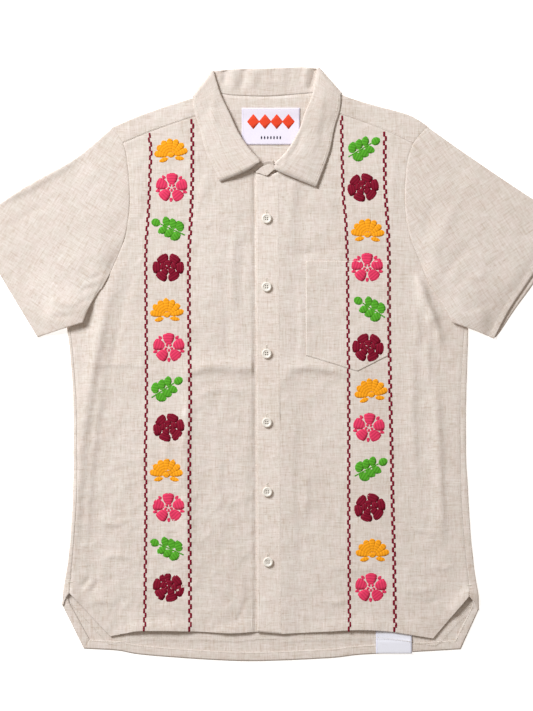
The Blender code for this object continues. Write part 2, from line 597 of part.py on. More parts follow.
def collar_run(part, cells):
    """Smooth curves through the table's sections: turn and edge in plan, then the three heights."""
    line = smooth([[*roll, *edge, stand, leaf, low] for roll, edge, stand, leaf, low in COLLAR[part]])
    along = np.linspace(0, len(line) - 1, cells + 1)
    return np.stack([np.interp(along, np.arange(len(line)), line[:, k]) for k in range(7)], axis=1)


def collar_lines():
    """Four lines round the neck: where the stand is sewn on, the two sides of the roll, the outer edge."""
    down = {side: chain(divide(YOKE_NECK[side], SHOULDER_CELLS), divide(FRONT_NECK[side], NECK_CELLS[side]))
            for side in SIDES}
    necks = {"right": down["right"][::-1], "back": divide(BACK_NECK, BACK_NECK_CELLS), "left": down["left"]}
    parts = {}
    for part, neck in necks.items():
        run = collar_run(part, len(neck) - 1)
        run = run[::-1] if part == "left" else run
        height = back_height if part == "back" else front_height
        up = unit(run[:, :2] - neck)
        roll = run[:, :2] - up * np.abs(run[:, 5:6] - run[:, 4:5]) / 2
        parts[part] = {
            "stand": raised(neck, height(neck[:, 0], neck[:, 1])),
            "roll_in": raised(roll, run[:, 4]),
            "roll_out": raised(roll, run[:, 5]),
            "edge": raised(run[:, 2:4], run[:, 6]),
        }
    lines = {}
    for name, (across, up) in COLLAR_TURNS.items():
        right, back, left = (parts[part][name] for part in ("right", "back", "left"))
        first = around_fold(right[-1:], back[:1], (-across, up), name == "stand")
        second = around_fold(back[-1:], left[:1], (across, up), name == "stand")
        lines[name] = np.vstack([right, first, back, second, left])
    return lines


def around_fold(start, stop, bulge, sewn):
    """Three points round a side fold of the collar; the sewn line keeps to the corners of the yoke."""
    bulge = unit(np.array([bulge]))
    if sewn:
        return evenly(np.vstack([start, *turn(start, stop, bulge), stop]), ROLL_CELLS)[1:-1]
    return np.vstack(turn(start, stop, bulge, ROLL_CELLS))


def make_collar():
    """The collar: at the back the stand shows and the leaf lies under the yoke; in front the leaves lie on
    the fronts. It is a ring laid flat, turned over along its roll and at each side of the neck."""
    lines = collar_lines()
    stand, roll_in, roll_out, edge = lines.values()
    up_stand = np.linspace(0, 1, STAND_CELLS + 1)[:, None]
    rows = [stand + (roll_in - stand) * t for t in up_stand]
    rows += turn(roll_in, roll_out, unit((roll_in - stand)[:, :2]), ROLL_CELLS)
    right, left = (NECK_CELLS[side] + SHOULDER_CELLS + 1 for side in SIDES)
    crown = np.zeros(len(stand))
    crown[:right] = crown[-left:] = LEAF_CROWN
    for t in np.linspace(0, 1, LEAF_CELLS + 1):
        row = roll_out + (edge - roll_out) * t
        row[:, 2] += crown * math.sin(math.pi * t)
        rows.append(row)
    points = np.stack(rows)
    for side, column in (("right", 0), ("left", -1)):
        points[-LEAF_CELLS - 1 :, column, :2] = evenly(smooth(LEAF_FRONT[side]), LEAF_CELLS)
    points = drawn_in(points, "bottom")
    corner = np.zeros((len(stand), 1))
    corner[right - 1 : right + ROLL_CELLS] = NECK_CORNER_GAP
    corner[-left - ROLL_CELLS : -left + 1] = NECK_CORNER_GAP
    points[0] += unit(points[1] - points[0]) * corner
    feet = {"right": raised(divide(UNDERLAP_NECK, UNDERLAP_CELLS)[:0:-1], UNDERLAP_HEIGHT),
            "left": raised(divide(PLACKET_NECK, PLACKET_CELLS)[:-1], PLACKET_HEIGHT)}
    ends = {}
    for side in SIDES:
        heads = np.array(STAND_END[side])
        sections = np.repeat(heads[None], len(points), axis=0)
        sections[: STAND_CELLS + 1] = feet[side] + (heads - feet[side]) * up_stand[..., None]
        sections[0] += unit(heads - feet[side]) * GAP / 2
        ends[side] = sections
    points = np.concatenate([ends["right"], points, ends["left"][:, ::-1]], axis=1)
    cut = np.zeros((points.shape[0] - 1, points.shape[1] - 1), bool)
    cut[STAND_CELLS:, : ends["right"].shape[1]] = True
    cut[STAND_CELLS:, -ends["left"].shape[1] :] = True
    return cloth("collar", points, COLLAR_WALL, cut=cut)


def make_back_hem_facing():
    """The turned hem inside the back: it follows the vents and the hem, mitred at the cut corners."""
    right, left = BACK_VENT["right"], BACK_VENT["left"]
    start = np.array(right[1]) + (FACING_END_IN, FACING_END_UP)
    stop = np.array(left[1]) + (-FACING_END_IN, FACING_END_UP)
    line = chain(np.array([start, right[1]]), evenly([right[1], right[0]], FACING_VENT_CELLS),
                 divide(BACK_HEM, FACING_HEM_CELLS), evenly([left[0], left[1]], FACING_VENT_CELLS),
                 np.array([left[1], stop]))
    along = unit(np.diff(line, axis=0))
    square = np.stack([-along[:, 1], along[:, 0]], axis=1)
    before = np.vstack([square[:1], square])
    after = np.vstack([square, square[-1:]])
    mitre = unit(before + after)
    mitre = mitre / (mitre * before).sum(axis=1, keepdims=True)
    rows = [raised(line + mitre * away, FACING_HEIGHT)
            for away in (FACING_SETBACK, (FACING_SETBACK + FACING_WIDTH) / 2, FACING_WIDTH)]
    return cloth("back_hem_facing", np.stack(rows), PATCH_WALL)


def make_pocket():
    """The patch pocket: a square top, straight sides and a pointed bottom, lying on the front."""
    across = np.linspace(0, 1, POCKET_COLUMNS + 1)
    bottom = POCKET_POINT + (POCKET_CORNER - POCKET_POINT) * np.where(
        across < POCKET_POINT_AT, 1 - across / POCKET_POINT_AT,
        (across - POCKET_POINT_AT) / (1 - POCKET_POINT_AT))
    x = POCKET_LEFT + (POCKET_RIGHT - POCKET_LEFT) * across
    up = np.linspace(0, 1, POCKET_ROWS + 1)[:, None]
    plan = np.stack(np.broadcast_arrays(x[None], bottom + (POCKET_TOP - bottom) * up), axis=-1)
    return cloth("chest_pocket", laid_on(plan, front_height), PATCH_WALL)


def make_label():
    """The blank label inside the back neck."""
    x = LABEL_MIDDLE[0] + LABEL_SIZE[0] * np.linspace(-0.5, 0.5, 4)
    y = LABEL_MIDDLE[1] + LABEL_SIZE[1] * np.linspace(-0.5, 0.5, 6)
    plan = np.stack(np.meshgrid(x, y), axis=-1)
    return cloth("neck_label", laid_on(plan, back_height), PATCH_WALL, LABEL_COLOUR)


def make_hem_tab():
    """The folded tab: its top is caught under the front hem and its foot lies on the back's turned hem."""
    x = np.linspace(TAB_LEFT, TAB_RIGHT, 3)
    y = np.linspace(TAB_BOTTOM, TAB_TOP, 6)
    plan = np.stack(np.meshgrid(x, y), axis=-1)
    low, high = FACING_HEIGHT, FACING_HEIGHT + PATCH_WALL + GAP
    onto_hem = ease((TAB_DROP_FROM - plan[..., 1]) / (TAB_DROP_FROM - TAB_DROP_TO))
    return cloth("hem_tab", raised(plan, low + (high - low) * onto_hem), PATCH_WALL, LABEL_COLOUR)


def make_button(number, middle):
    """A four-hole button: a turned disc with a raised rim round its well, lying on the band."""
    outer, well = BUTTON_RADIUS, BUTTON_WELL
    top, foot = BUTTON_HEIGHT, 0.0
    profile = [(0.0, top - BUTTON_WELL_DEEP), (well - BUTTON_WELL_SLOPE, top - BUTTON_WELL_DEEP),
               (well + BUTTON_WELL_SLOPE, top), (outer - BUTTON_RIM_ROUND, top),
               (outer, top - BUTTON_EDGE_DROP), (outer - BUTTON_FOOT_IN, foot), (0.0, foot)]
    shape = bmesh.new()
    verts = [shape.verts.new((r * MM, 0, z * MM)) for r, z in profile]
    for a, b in zip(verts, verts[1:]):
        shape.edges.new((a, b))
    mesh = bpy.data.meshes.new(f"button_{number}")
    shape.to_mesh(mesh)
    shape.free()
    button = bpy.data.objects.new(f"button_{number}", mesh)
    shirt.objects.link(button)
    seat = PLACKET_HEIGHT + PLACKET_WALL / 2 + GAP
    button.location = (middle[0] * MM, middle[1] * MM, seat * MM)
    screw = button.modifiers.new("turned", "SCREW")
    screw.steps = BUTTON_SIDES
    screw.render_steps = BUTTON_SIDES
    screw.use_merge_vertices = True
    screw.merge_threshold = 0.00001
    holes = button.modifiers.new("holes", "BOOLEAN")
    holes.object = make_hole_cutter(number, button.location)
    holes.operation = "DIFFERENCE"
    finish(button, BUTTON_COLOUR, 0.45)
    mesh.shade_smooth()
    return button


def make_hole_cutter(number, location):
    """Four pegs that cut the holes of one button."""
    pegs = bmesh.new()
    for k in range(4):
        angle = math.pi / 4 + k * math.pi / 2
        made = bmesh.ops.create_cone(pegs, cap_ends=True, segments=HOLE_SIDES, radius1=BUTTON_HOLE * MM,
                                     radius2=BUTTON_HOLE * MM, depth=3 * BUTTON_HEIGHT * MM)
        shift = (BUTTON_HOLE_OUT * MM * math.cos(angle), BUTTON_HOLE_OUT * MM * math.sin(angle), 0)
        bmesh.ops.translate(pegs, verts=made["verts"], vec=shift)
    mesh = bpy.data.meshes.new(f"button_{number}_holes")
    pegs.to_mesh(mesh)
    pegs.free()
    cutter = bpy.data.objects.new(f"button_{number}_holes", mesh)
    cutter.location = location
    cutter.hide_render = True
    cutter.display_type = "WIRE"
    cutters.objects.link(cutter)
    return cutter


for old in list(bpy.data.objects):
    bpy.data.objects.remove(old)
shirt = bpy.data.collections.new("guayabera_shirt")
cutters = bpy.data.collections.new("cutters")
bpy.context.scene.collection.children.link(shirt)
bpy.context.scene.collection.children.link(cutters)

make_back_panel()
make_back_hem_facing()
make_yoke()
for each_side in SIDES:
    make_front(each_side)
    make_sleeve(each_side)
make_placket()
make_collar()
make_pocket()
make_label()
make_hem_tab()
for index, spot in enumerate(BUTTONS):
    make_button(index + 1, spot)
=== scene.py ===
"""A short-sleeved guayabera shirt of slubby oatmeal linen, laid flat on its back with its fronts up.

The script follows the shirt as it is put together, one section for each piece. Plans and heights are in
millimetres, X to the wearer's left, Y up to the collar, Z up from the floor, and the meshes are in metres.
"""

import math

import bmesh
import bpy
import numpy as np
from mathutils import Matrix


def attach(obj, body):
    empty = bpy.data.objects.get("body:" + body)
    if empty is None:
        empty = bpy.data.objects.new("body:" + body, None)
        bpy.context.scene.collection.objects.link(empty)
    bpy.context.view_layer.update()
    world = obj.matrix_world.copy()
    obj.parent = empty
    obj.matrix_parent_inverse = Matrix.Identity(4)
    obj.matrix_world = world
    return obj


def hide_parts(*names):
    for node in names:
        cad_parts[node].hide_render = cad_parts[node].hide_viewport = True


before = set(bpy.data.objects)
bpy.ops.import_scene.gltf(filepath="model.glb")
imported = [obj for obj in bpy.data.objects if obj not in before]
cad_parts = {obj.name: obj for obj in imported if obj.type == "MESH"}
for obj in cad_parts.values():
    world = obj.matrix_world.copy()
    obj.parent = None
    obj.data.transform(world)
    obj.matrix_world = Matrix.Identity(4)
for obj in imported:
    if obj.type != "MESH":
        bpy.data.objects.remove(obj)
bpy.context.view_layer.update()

# The back, below the yoke
# One large panel of slubby linen, cut on the straight grain. It lies on the floor and wraps round both sides
# of the body to the side seams on top, and it ends lower than the fronts, in a turned hem.

MM = 0.001
LINEN_WALL = 0.8
FOLD = 2.3  # from the middle of the lower layer to that of the upper one
BACK_HEIGHT = 0.55
FRONT_HEIGHT = 2.9
WELD = 2e-6  # metres
SIDES = {"right": -1, "left": 1}

# Up each side: level, outline where the back folds over, side seam
SIDE = {
    "right": [(-293.0, -262.0, -254.0), (-276.0, -259.8, -252.7), (-251.0, -255.4, -250.6),
              (-212.0, -250.9, -247.6), (-165.0, -247.8, -244.8), (-110.0, -247.7, -244.7),
              (-46.0, -248.8, -245.8), (14.0, -253.2, -250.0), (58.5, -258.6, -255.2)],
    "left": [(-297.0, 268.3, 257.3), (-282.0, 266.6, 257.3), (-255.0, 263.0, 254.3),
             (-211.0, 258.7, 250.5), (-165.0, 255.9, 247.5), (-112.0, 253.2, 246.6),
             (-46.0, 253.3, 246.4), (0.0, 254.7, 248.4), (58.5, 256.5, 252.4)],
}
BACK_HEM = [(-235.9, -364.5), (-192.6, -367.0), (-160.0, -372.4), (-71.7, -378.9), (-10.2, -380.4),
            (78.1, -376.7), (117.8, -372.4), (183.7, -369.0), (246.8, -365.4)]
BACK_VENT = {"right": [(-235.9, -364.5), (-263.7, -308.5), (-262.0, -293.0)],
             "left": [(246.8, -365.4), (269.7, -314.9), (268.3, -297.0)]}
ARMHOLE = {
    "right": [(-199.8, 301.5), (-185.6, 283.0), (-178.9, 246.0), (-177.4, 206.0), (-183.0, 164.0),
              (-199.7, 121.6), (-212.5, 97.3)],
    "left": [(203.6, 303.5), (185.9, 282.1), (178.0, 255.0), (175.6, 205.0), (182.5, 162.0),
             (196.5, 126.0), (206.7, 102.1)],
}
UNDERARM = {"right": [(-212.5, 97.3), (-226.0, 88.0), (-242.0, 73.0)],
            "left": [(206.7, 102.1), (220.0, 91.0), (236.0, 75.0)]}
YOKE_SEAM = {"right": [(-185.6, 283.0), (-153.6, 296.3), (-122.9, 307.3), (-79.0, 322.0)],
             "left": [(185.9, 282.1), (145.8, 301.1), (92.3, 320.0), (76.6, 324.5)]}
BACK_YOKE_LEVEL = 238.0
NECK_LIFT = 1.6  # the collar's turned-down half lies under the yoke here
NECK_LIFT_FROM, NECK_LIFT_FULL = 311.0, 328.0
NECK_LIFT_WIDE, NECK_LIFT_END = 100.0, 120.0
SIDE_CELLS, UNDERARM_CELLS, ARMHOLE_CELLS, BACK_YOKE_CELLS, SHOULDER_CELLS = 168, 12, 60, 14, 8
VENT_CELLS, VENT_TURN_CELLS, BACK_COLUMNS, FOLD_CELLS = 24, 12, 110, 8
CREASE_FADE = 0.3  # the share of a crease's length at each end in which it fades out
CRUMPLE_SHARP = 1.6
CLOSER_PARTS = (0.45, 0.8)  # where the last cell at an edge is cut once more


def smooth(points, steps=24):
    """The smooth curve through the points, as short straight steps: a cubic for each span, whose slope at a
    point is half the way from the point before to the point after (Catmull-Rom)."""
    points = np.asarray(points, float)
    if len(points) == 2:
        return points[0] + (points[1] - points[0]) * np.linspace(0, 1, steps + 1)[:, None]
    ends = 2 * points[[0, -1]] - points[[1, -2]]
    p = np.vstack([ends[:1], points, ends[1:]])
    t = np.linspace(0, 1, steps, endpoint=False)[:, None]
    spans = [
        0.5 * (2 * b + (c - a) * t + (2 * a - 5 * b + 4 * c - d) * t**2 + (3 * b - a - 3 * c + d) * t**3)
        for a, b, c, d in zip(p, p[1:], p[2:], p[3:])
    ]
    return np.vstack(spans + [points[-1:]])


def lengths(line):
    """How far along a line each of its points is."""
    return np.concatenate([[0], np.cumsum(np.linalg.norm(np.diff(line, axis=0), axis=1))])


def places_along(line, at):
    """The points of a line at these lengths along it."""
    line, along = np.asarray(line, float), lengths(line)
    return np.stack([np.interp(at, along, line[:, k]) for k in range(line.shape[1])], axis=1)


def evenly(line, cells):
    """The line cut into equal cells by its length."""
    return places_along(line, np.linspace(0, lengths(line)[-1], cells + 1))


def divide(points, cells):
    """The smooth curve through the points, in equal cells."""
    return evenly(smooth(points), cells)


def chain(*lines):
    """Lines joined end to end, each starting where the last one ends."""
    return np.vstack([lines[0]] + [line[1:] for line in lines[1:]])


def unit(vectors):
    """Vectors divided by their lengths."""
    return vectors / np.maximum(np.linalg.norm(vectors, axis=-1, keepdims=True), 1e-9)


def ease(t):
    """A smooth step from 0 to 1: three times the square less twice the cube."""
    t = np.clip(t, 0, 1)
    return t * t * (3 - 2 * t)


def panel(bottom, top, left, right):
    """A sheet between four edges: the two straight blends of opposite edges added up, less the blend of the
    four corners (Coons). Rows run from bottom to top and columns from left to right."""
    u = np.linspace(0, 1, len(bottom))[None, :, None]
    v = np.linspace(0, 1, len(left))[:, None, None]
    across = (1 - v) * bottom[None] + v * top[None]
    upward = (1 - u) * left[:, None] + u * right[:, None]
    corners = ((1 - u) * (1 - v) * bottom[0] + u * (1 - v) * bottom[-1]
               + (1 - u) * v * top[0] + u * v * top[-1])
    return across + upward - corners


def raised(plan, height):
    """Plan points with their heights as a third coordinate."""
    height = np.broadcast_to(height, plan.shape[:-1])
    return np.concatenate([plan, height[..., None]], axis=-1)


def closer(plan, *edges, parts=CLOSER_PARTS):
    """The sheet with more rows or columns near each named edge, at these parts of the last cell."""
    for edge in edges:
        grid = plan if edge in ("bottom", "top") else np.swapaxes(plan, 0, 1)
        grid = grid[::-1] if edge in ("bottom", "left") else grid
        more = [grid[-2] + (grid[-1] - grid[-2]) * part for part in parts]
        grid = np.concatenate([grid[:-1], np.stack(more), grid[-1:]])
        grid = grid[::-1] if edge in ("bottom", "left") else grid
        plan = grid if edge in ("bottom", "top") else np.swapaxes(grid, 0, 1)
    return plan


def from_edge(plan, edge):
    """How far each point is from the point of its row or column on the named edge."""
    ends = {"bottom": plan[:1], "top": plan[-1:], "left": plan[:, :1], "right": plan[:, -1:]}
    return np.linalg.norm(plan[..., :2] - ends[edge][..., :2], axis=-1)


def shaped(plan, form, more=0.0):
    """Plan points at the height that a form has there, and this much more."""
    return raised(plan, form(plan[..., 0], plan[..., 1]) + more)


def seam_dip(away, deep, wide=1.3):
    """The valley at a seam: a bell of the distance from it, turned down."""
    return -deep * np.exp(-((away / wide) ** 2))


def ripples(x, y, size, seed):
    """Uneven soft waves, about 1 high: nine plane waves of seeded directions and phases, near one length."""
    chance = np.random.default_rng(seed)
    turn, phase = chance.uniform(0, 2 * math.pi, (2, 9))
    length = size * chance.uniform(0.7, 1.5, 9)
    waves = [np.sin(2 * math.pi * (x * math.cos(a) + y * math.sin(a)) / n + p)
             for a, p, n in zip(turn, phase, length)]
    return np.sum(waves, axis=0) / 3


def along_line(x, y, line):
    """Each point's distance from a line of straight steps, how far along it the nearest place is, from 0 to
    1, and on which side of it the point lies, 1 for the right hand side."""
    line, starts = np.asarray(line, float), lengths(line)
    steps = np.diff(line, axis=0)
    best, place, side = np.full(np.shape(x), 1e9), np.zeros(np.shape(x)), np.ones(np.shape(x))
    for (ax, ay), (dx, dy), size, start in zip(line, steps, np.linalg.norm(steps, axis=1), starts):
        t = np.clip(((x - ax) * dx + (y - ay) * dy) / size**2, 0, 1)
        away = np.hypot(x - ax - t * dx, y - ay - t * dy)
        nearer = away < best
        best = np.where(nearer, away, best)
        place = np.where(nearer, (start + t * size) / starts[-1], place)
        side = np.where(nearer, np.where((x - ax) * dy - (y - ay) * dx >= 0, 1.0, -1.0), side)
    return best, place, side


def creases(x, y, table):
    """Ridges and troughs along lines: across each, height over the square of one plus the square of the
    distance in widths, narrower on the right by its lean, and faded out at both ends."""
    rise = np.zeros(np.shape(x))
    for line, width, height, lean in table:
        away, place, side = along_line(x, y, line)
        reach = away / (width * (1 - lean * side * np.clip(away / width, 0, 1)))
        ends = ease(place / CREASE_FADE) * ease((1 - place) / CREASE_FADE)
        rise = rise + height * ends / (1 + reach**2) ** 2
    return rise


def neck_lift(x, y):
    """How far the collar's turned-down half lifts the yoke and the fronts over it: two smooth steps."""
    up = ease((y - NECK_LIFT_FROM) / (NECK_LIFT_FULL - NECK_LIFT_FROM))
    across = 1 - ease((np.abs(x) - NECK_LIFT_WIDE) / (NECK_LIFT_END - NECK_LIFT_WIDE))
    return NECK_LIFT * up * across


def back_height(x, y):
    """Middle of the wall of the back and of the yoke where it lies on the floor."""
    return BACK_HEIGHT + neck_lift(x, y)


# Across the middle the right front sinks under the band, and the left front rises level with it
UNDERLAP_HEIGHT, PLACKET_HEIGHT, OVER_PLACKET = 2.1, 3.8, 0.3
FRONTS_PART = 11.5  # the right front ends before this, under the band, and the left one is past it
# The groove beside the band's edge, at the hem and at the neck: its levels, where it runs, how deep it is. Over
# the other two distances from it the right front sinks to the underlap's height
SINK_LEVELS, SINK_GROOVE_AT, SINK_GROOVE, SINK_GROOVE_WIDE = (-343.0, 243.0), (-15.4, -17.3), (0.1, 0.5), 0.95
SINK_FROM, SINK_FULL = -5.4, -0.4
LEVEL_FROM, LEVEL_FULL = 46.0, 18.0
BAND_FOLDS = 0.3  # the share of the folds that runs on beside the band
SIDE_SEAM_DEEP = {"right": 0.4, "left": 0.35}
# The back's strip between fold and seam: how far across it, how much it stands up there
SIDE_STRIP = {"right": ((0.5, 0.1), (0.9, 0.4), (0.98, 0.0)), "left": ((0.5, 0.06), (0.9, 0.01))}
FOLD_BELOW_FRONT = 0.15
VENT_TURN_IN, VENT_TURN_BOW = 0.3, (0.7, 0.4)
TAB_LIFT, TAB_LIFT_WIDE, TAB_LIFT_FROM, TAB_LIFT_EASE = 0.8, 52.0, -318.0, 20.0
TAB_LEFT, TAB_RIGHT = 138.2, 184.3
FRONT_RIPPLES = ((0.16, 46.0, 3), (0.10, 19.0, 9))  # how high, how long, seed
# Small sharp folds: how high, how much drawn in sideways and upward, how long, seed. They are weaker above, by
# the first share, and toward the wearer's left, by the sides' shares
FRONT_CRUMPLES = ((0.42, 1.0, 1.7, 34.0, 31), (0.32, 1.6, 1.0, 52.0, 32))
CRUMPLE_UPPER, CRUMPLE_BELOW, CRUMPLE_EASE = 0.5, 60.0, 200.0
CRUMPLE_SIDES, CRUMPLE_SIDES_WIDE = (0.72, 0.28), 60.0
# Largest folds: the two ends of each crest, how wide it is to either side, how high it stands
FRONT_FOLDS = [
    ((31.0, 228.0), (24.0, 160.0), 8.0, 1.8),
    ((-118.0, -70.0), (-104.0, -250.0), 26.0, 1.0),
    ((116.0, 20.0), (128.0, -230.0), 28.0, 1.2),
    ((-60.0, 190.0), (-74.0, 60.0), 22.0, 1.0),
    ((-254.0, -292.0), (-249.0, -300.0), 8.0, 2.0),
    ((257.0, -297.0), (243.0, -313.0), 12.0, 3.6),
    ((-168.0, -340.0), (-112.0, -341.0), 13.0, 2.9),
    ((84.0, -341.0), (130.0, -341.0), 14.0, 1.8),
    ((-52.0, -343.0), (-30.0, -343.0), 9.0, 1.2),
    ((-231.0, 52.0), (-224.0, 66.0), 15.0, -1.5),
]
# Lesser creases: the line of each, how wide it is, how high (a trough is below 0), and how much steeper it is
# on the right hand of its line
FRONT_CREASES = [
    ([(-254, -290), (-249, -230), (-243, -160), (-238, -95), (-229, -34), (-219, 22), (-211, 59), (-201, 97),
      (-180, 150)], 12.5, 3.8, 0.3),
    ([(-236, -270), (-231, -190), (-224, -110), (-212, -20), (-204, 40)], 8.0, 1.5, 0.3),
    ([(-205, -27), (-195, 24), (-187, 69), (-170, 124)], 7.0, -1.0, 0.0),
    ([(-232, -3), (-204, -1), (-176, -1), (-150, -4)], 4.5, 1.0, 0.5),
    ([(-116, -28), (-100, -9), (-78, -3), (-48, -3), (8, -8)], 11.0, 2.9, 0.25),
    ([(-96, -40), (-62, -32), (-26, -34)], 7.0, 1.0, 0.2),
    ([(-4, -68), (12, -30), (29, -5), (56, -3), (84, -8), (114, -20)], 9.5, 2.9, 0.25),
    ([(18, -6), (17, -46), (19, -90)], 5.0, -1.5, 0.0),
    ([(-103, -285), (-106, -150), (-103, 10)], 10.0, 2.0, 0.2),
    ([(-132, -260), (-128, -160), (-132, -60)], 8.0, 1.0, 0.3),
    ([(-150, -240), (-146, -150), (-150, -60)], 12.0, 0.9, 0.2),
    ([(-54, 74), (-52, 40), (-53, 12)], 7.0, -0.8, 0.2),
    ([(-30, 170), (-34, 110), (-30, 60)], 8.0, -0.6, -0.2),
    ([(-28, -296), (-34, -318), (-42, -334)], 4.0, -1.2, 0.3),
    ([(-36, -262), (-34, -300), (-30, -326)], 7.0, 0.9, 0.0),
    ([(-28, -190), (-27, -110), (-24, -40)], 6.0, 0.6, 0.3),
    ([(-40, 200), (-46, 120), (-44, 50)], 8.0, 1.0, 0.3),
    ([(40, 120), (44, 40), (40, -20)], 7.0, 0.9, 0.3),
    ([(-60, -240), (-66, -170), (-60, -100)], 10.0, 1.0, 0.2),
    ([(-241, -289), (-226, -271)], 3.4, -1.9, 0.0),
    ([(-228, -294), (-215, -276)], 3.4, -1.5, 0.0),
    ([(-234, -306), (-214, -303), (-192, -308)], 4.0, 1.0, 0.3),
    ([(-214, -250), (-196, -244), (-170, -250)], 4.5, 1.2, 0.3),
    ([(-220, -200), (-200, -206), (-176, -200)], 4.5, 1.1, 0.3),
    ([(-92, 186), (-74, 192), (-54, 188)], 3.5, 0.5, 0.3),
    ([(-92, 176), (-72, 182), (-54, 178)], 3.5, 0.5, 0.3),
    ([(24, 212), (20, 180), (24, 150)], 5.0, -0.9, 0.3),
    ([(25, 140), (50, 142), (84, 146)], 5.0, -0.7, -0.2),
    ([(199, 60), (195, 88), (190, 120)], 6.0, 2.8, -0.2),
    ([(212, 40), (204, 76), (193, 112)], 6.5, 4.4, -0.2),
    ([(223, 20), (215, 50), (206, 80)], 6.0, 3.2, -0.2),
    ([(190, 14), (192, 44), (188, 76)], 6.0, 1.2, 0.3),
    ([(206, -30), (204, 6), (206, 40)], 6.0, 1.2, 0.3),
    ([(224, -250), (219, -130), (213, 0)], 9.0, 2.2, 0.25),
    ([(190, -160), (184, -60), (186, 30)], 9.0, 1.5, 0.25),
    ([(181, -210), (200, -215), (220, -220)], 3.5, 0.8, 0.3),
    ([(165, -288), (190, -292), (215, -286)], 4.0, 0.9, 0.3),
    ([(180, -302), (205, -306), (228, -300)], 3.5, -0.8, 0.0),
    ([(205, -256), (222, -262), (240, -258)], 3.5, 0.8, 0.2),
    ([(46, -206), (50, -160), (48, -130)], 6.0, 1.0, 0.2),
    ([(36, -260), (30, -150), (34, -50)], 7.0, 0.8, 0.3),
    ([(60, -254), (110, -264), (156, -256)], 8.0, 0.9, 0.3),
    ([(60, -300), (84, -306), (110, -302)], 4.0, 0.8, 0.3),
    ([(-150, -306), (-128, -318), (-100, -322)], 7.0, 0.8, 0.2),
    ([(-170, 270), (-166, 236), (-160, 196)], 9.0, 0.8, 0.2),
    ([(-74, 252), (-84, 220), (-90, 190)], 8.0, 0.8, 0.2),
    ([(84, 250), (92, 210), (90, 170)], 10.0, -0.6, 0.2),
    ([(164, 268), (158, 226), (162, 190)], 9.0, 0.7, -0.2),
]


def crumple(x, y, size, seed):
    """Small sharp folds, from 0 to about 1: one less the size of uneven waves, so they peak along lines."""
    return np.maximum(1 - CRUMPLE_SHARP * np.abs(ripples(x, y, size, seed)), 0)


def front_height(x, y):
    """Middle of the wall of the fronts. Level cloth sinks to the underlap's height, in a groove beside the band,
    or rises to the band's. To it come bells along the largest folds, the creases, uneven waves, small sharp
    folds and the lift over the tab."""
    height = FRONT_HEIGHT + neck_lift(x, y)
    groove_at, groove_deep = (np.interp(y, SINK_LEVELS, ends) for ends in (SINK_GROOVE_AT, SINK_GROOVE))
    underlap = ease((x - groove_at - SINK_FROM) / (SINK_FULL - SINK_FROM)) * (x < FRONTS_PART)
    band = ease((x - LEVEL_FROM) / (LEVEL_FULL - LEVEL_FROM)) * (x >= FRONTS_PART)
    height = height + (UNDERLAP_HEIGHT - height) * underlap + (PLACKET_HEIGHT + OVER_PLACKET - height) * band
    from_tab = np.abs(x - (TAB_LEFT + TAB_RIGHT) / 2)
    tab = ease((TAB_LIFT_WIDE - from_tab) / TAB_LIFT_EASE) * ease((TAB_LIFT_FROM - y) / TAB_LIFT_EASE)
    rise = np.zeros(np.shape(x))
    for start, stop, width, high in FRONT_FOLDS:
        rise = rise + high * np.exp(-((along_line(x, y, [start, stop])[0] / width) ** 2))
    rise = rise + creases(x, y, FRONT_CREASES)
    for high, size, seed in FRONT_RIPPLES:
        rise = rise + high * ripples(x, y, size, seed)
    share = CRUMPLE_UPPER + (1 - CRUMPLE_UPPER) * ease((CRUMPLE_BELOW - y) / CRUMPLE_EASE)
    share = share * (CRUMPLE_SIDES[0] - CRUMPLE_SIDES[1] * np.tanh(x / CRUMPLE_SIDES_WIDE))
    for high, across, along, size, seed in FRONT_CRUMPLES:
        rise = rise + high * share * crumple(across * x, along * y, size, seed)
    calm = (1 - underlap) * (1 - (1 - BAND_FOLDS) * band)
    groove = groove_deep * np.exp(-(((x - groove_at) / SINK_GROOVE_WIDE) ** 2))
    return height + rise * calm + TAB_LIFT * tab - groove


def side_lines(side):
    """Outline and seam of one side of the body, from the vent up, with the same cells."""
    table = np.array(SIDE[side])
    return divide(table[:, [1, 0]], SIDE_CELLS), divide(table[:, [2, 0]], SIDE_CELLS)


def armhole_line(side):
    """Armhole from the shoulder down: the yoke's cells on the front and back, then those of the back."""
    line = smooth(ARMHOLE[side])
    cuts = [0] + [int(np.argmin(np.abs(line[:, 1] - y))) for y in (YOKE_SEAM[side][0][1], BACK_YOKE_LEVEL)]
    cuts.append(len(line) - 1)
    counts = (SHOULDER_CELLS, BACK_YOKE_CELLS, ARMHOLE_CELLS)
    return chain(*(evenly(line[a : b + 1], n) for a, b, n in zip(cuts, cuts[1:], counts)))


def half_turn(lower, upper, outward, cells=FOLD_CELLS):
    """The rounded fold from one line up or down to another: half circles on the line between them."""
    angles = np.linspace(0, math.pi, cells + 1)[:, None, None]
    middle, half = (lower + upper) / 2, (upper - lower) / 2
    reach = np.linalg.norm(half, axis=-1, keepdims=True)
    bulge = np.concatenate([outward, np.zeros_like(outward[..., :1])], axis=-1) * reach
    return middle - half * np.cos(angles) + bulge * np.sin(angles)


def in_scene(name, data):
    """A new object in the scene."""
    made = bpy.data.objects.new(name, data)
    bpy.context.scene.collection.objects.link(made)
    return made


def grid_faces(rows, columns):
    """The faces of a grid of points."""
    index = np.arange(rows * columns).reshape(rows, columns)
    return np.stack([index[:-1, :-1], index[:-1, 1:], index[1:, 1:], index[1:, :-1]], axis=-1).reshape(-1, 4)


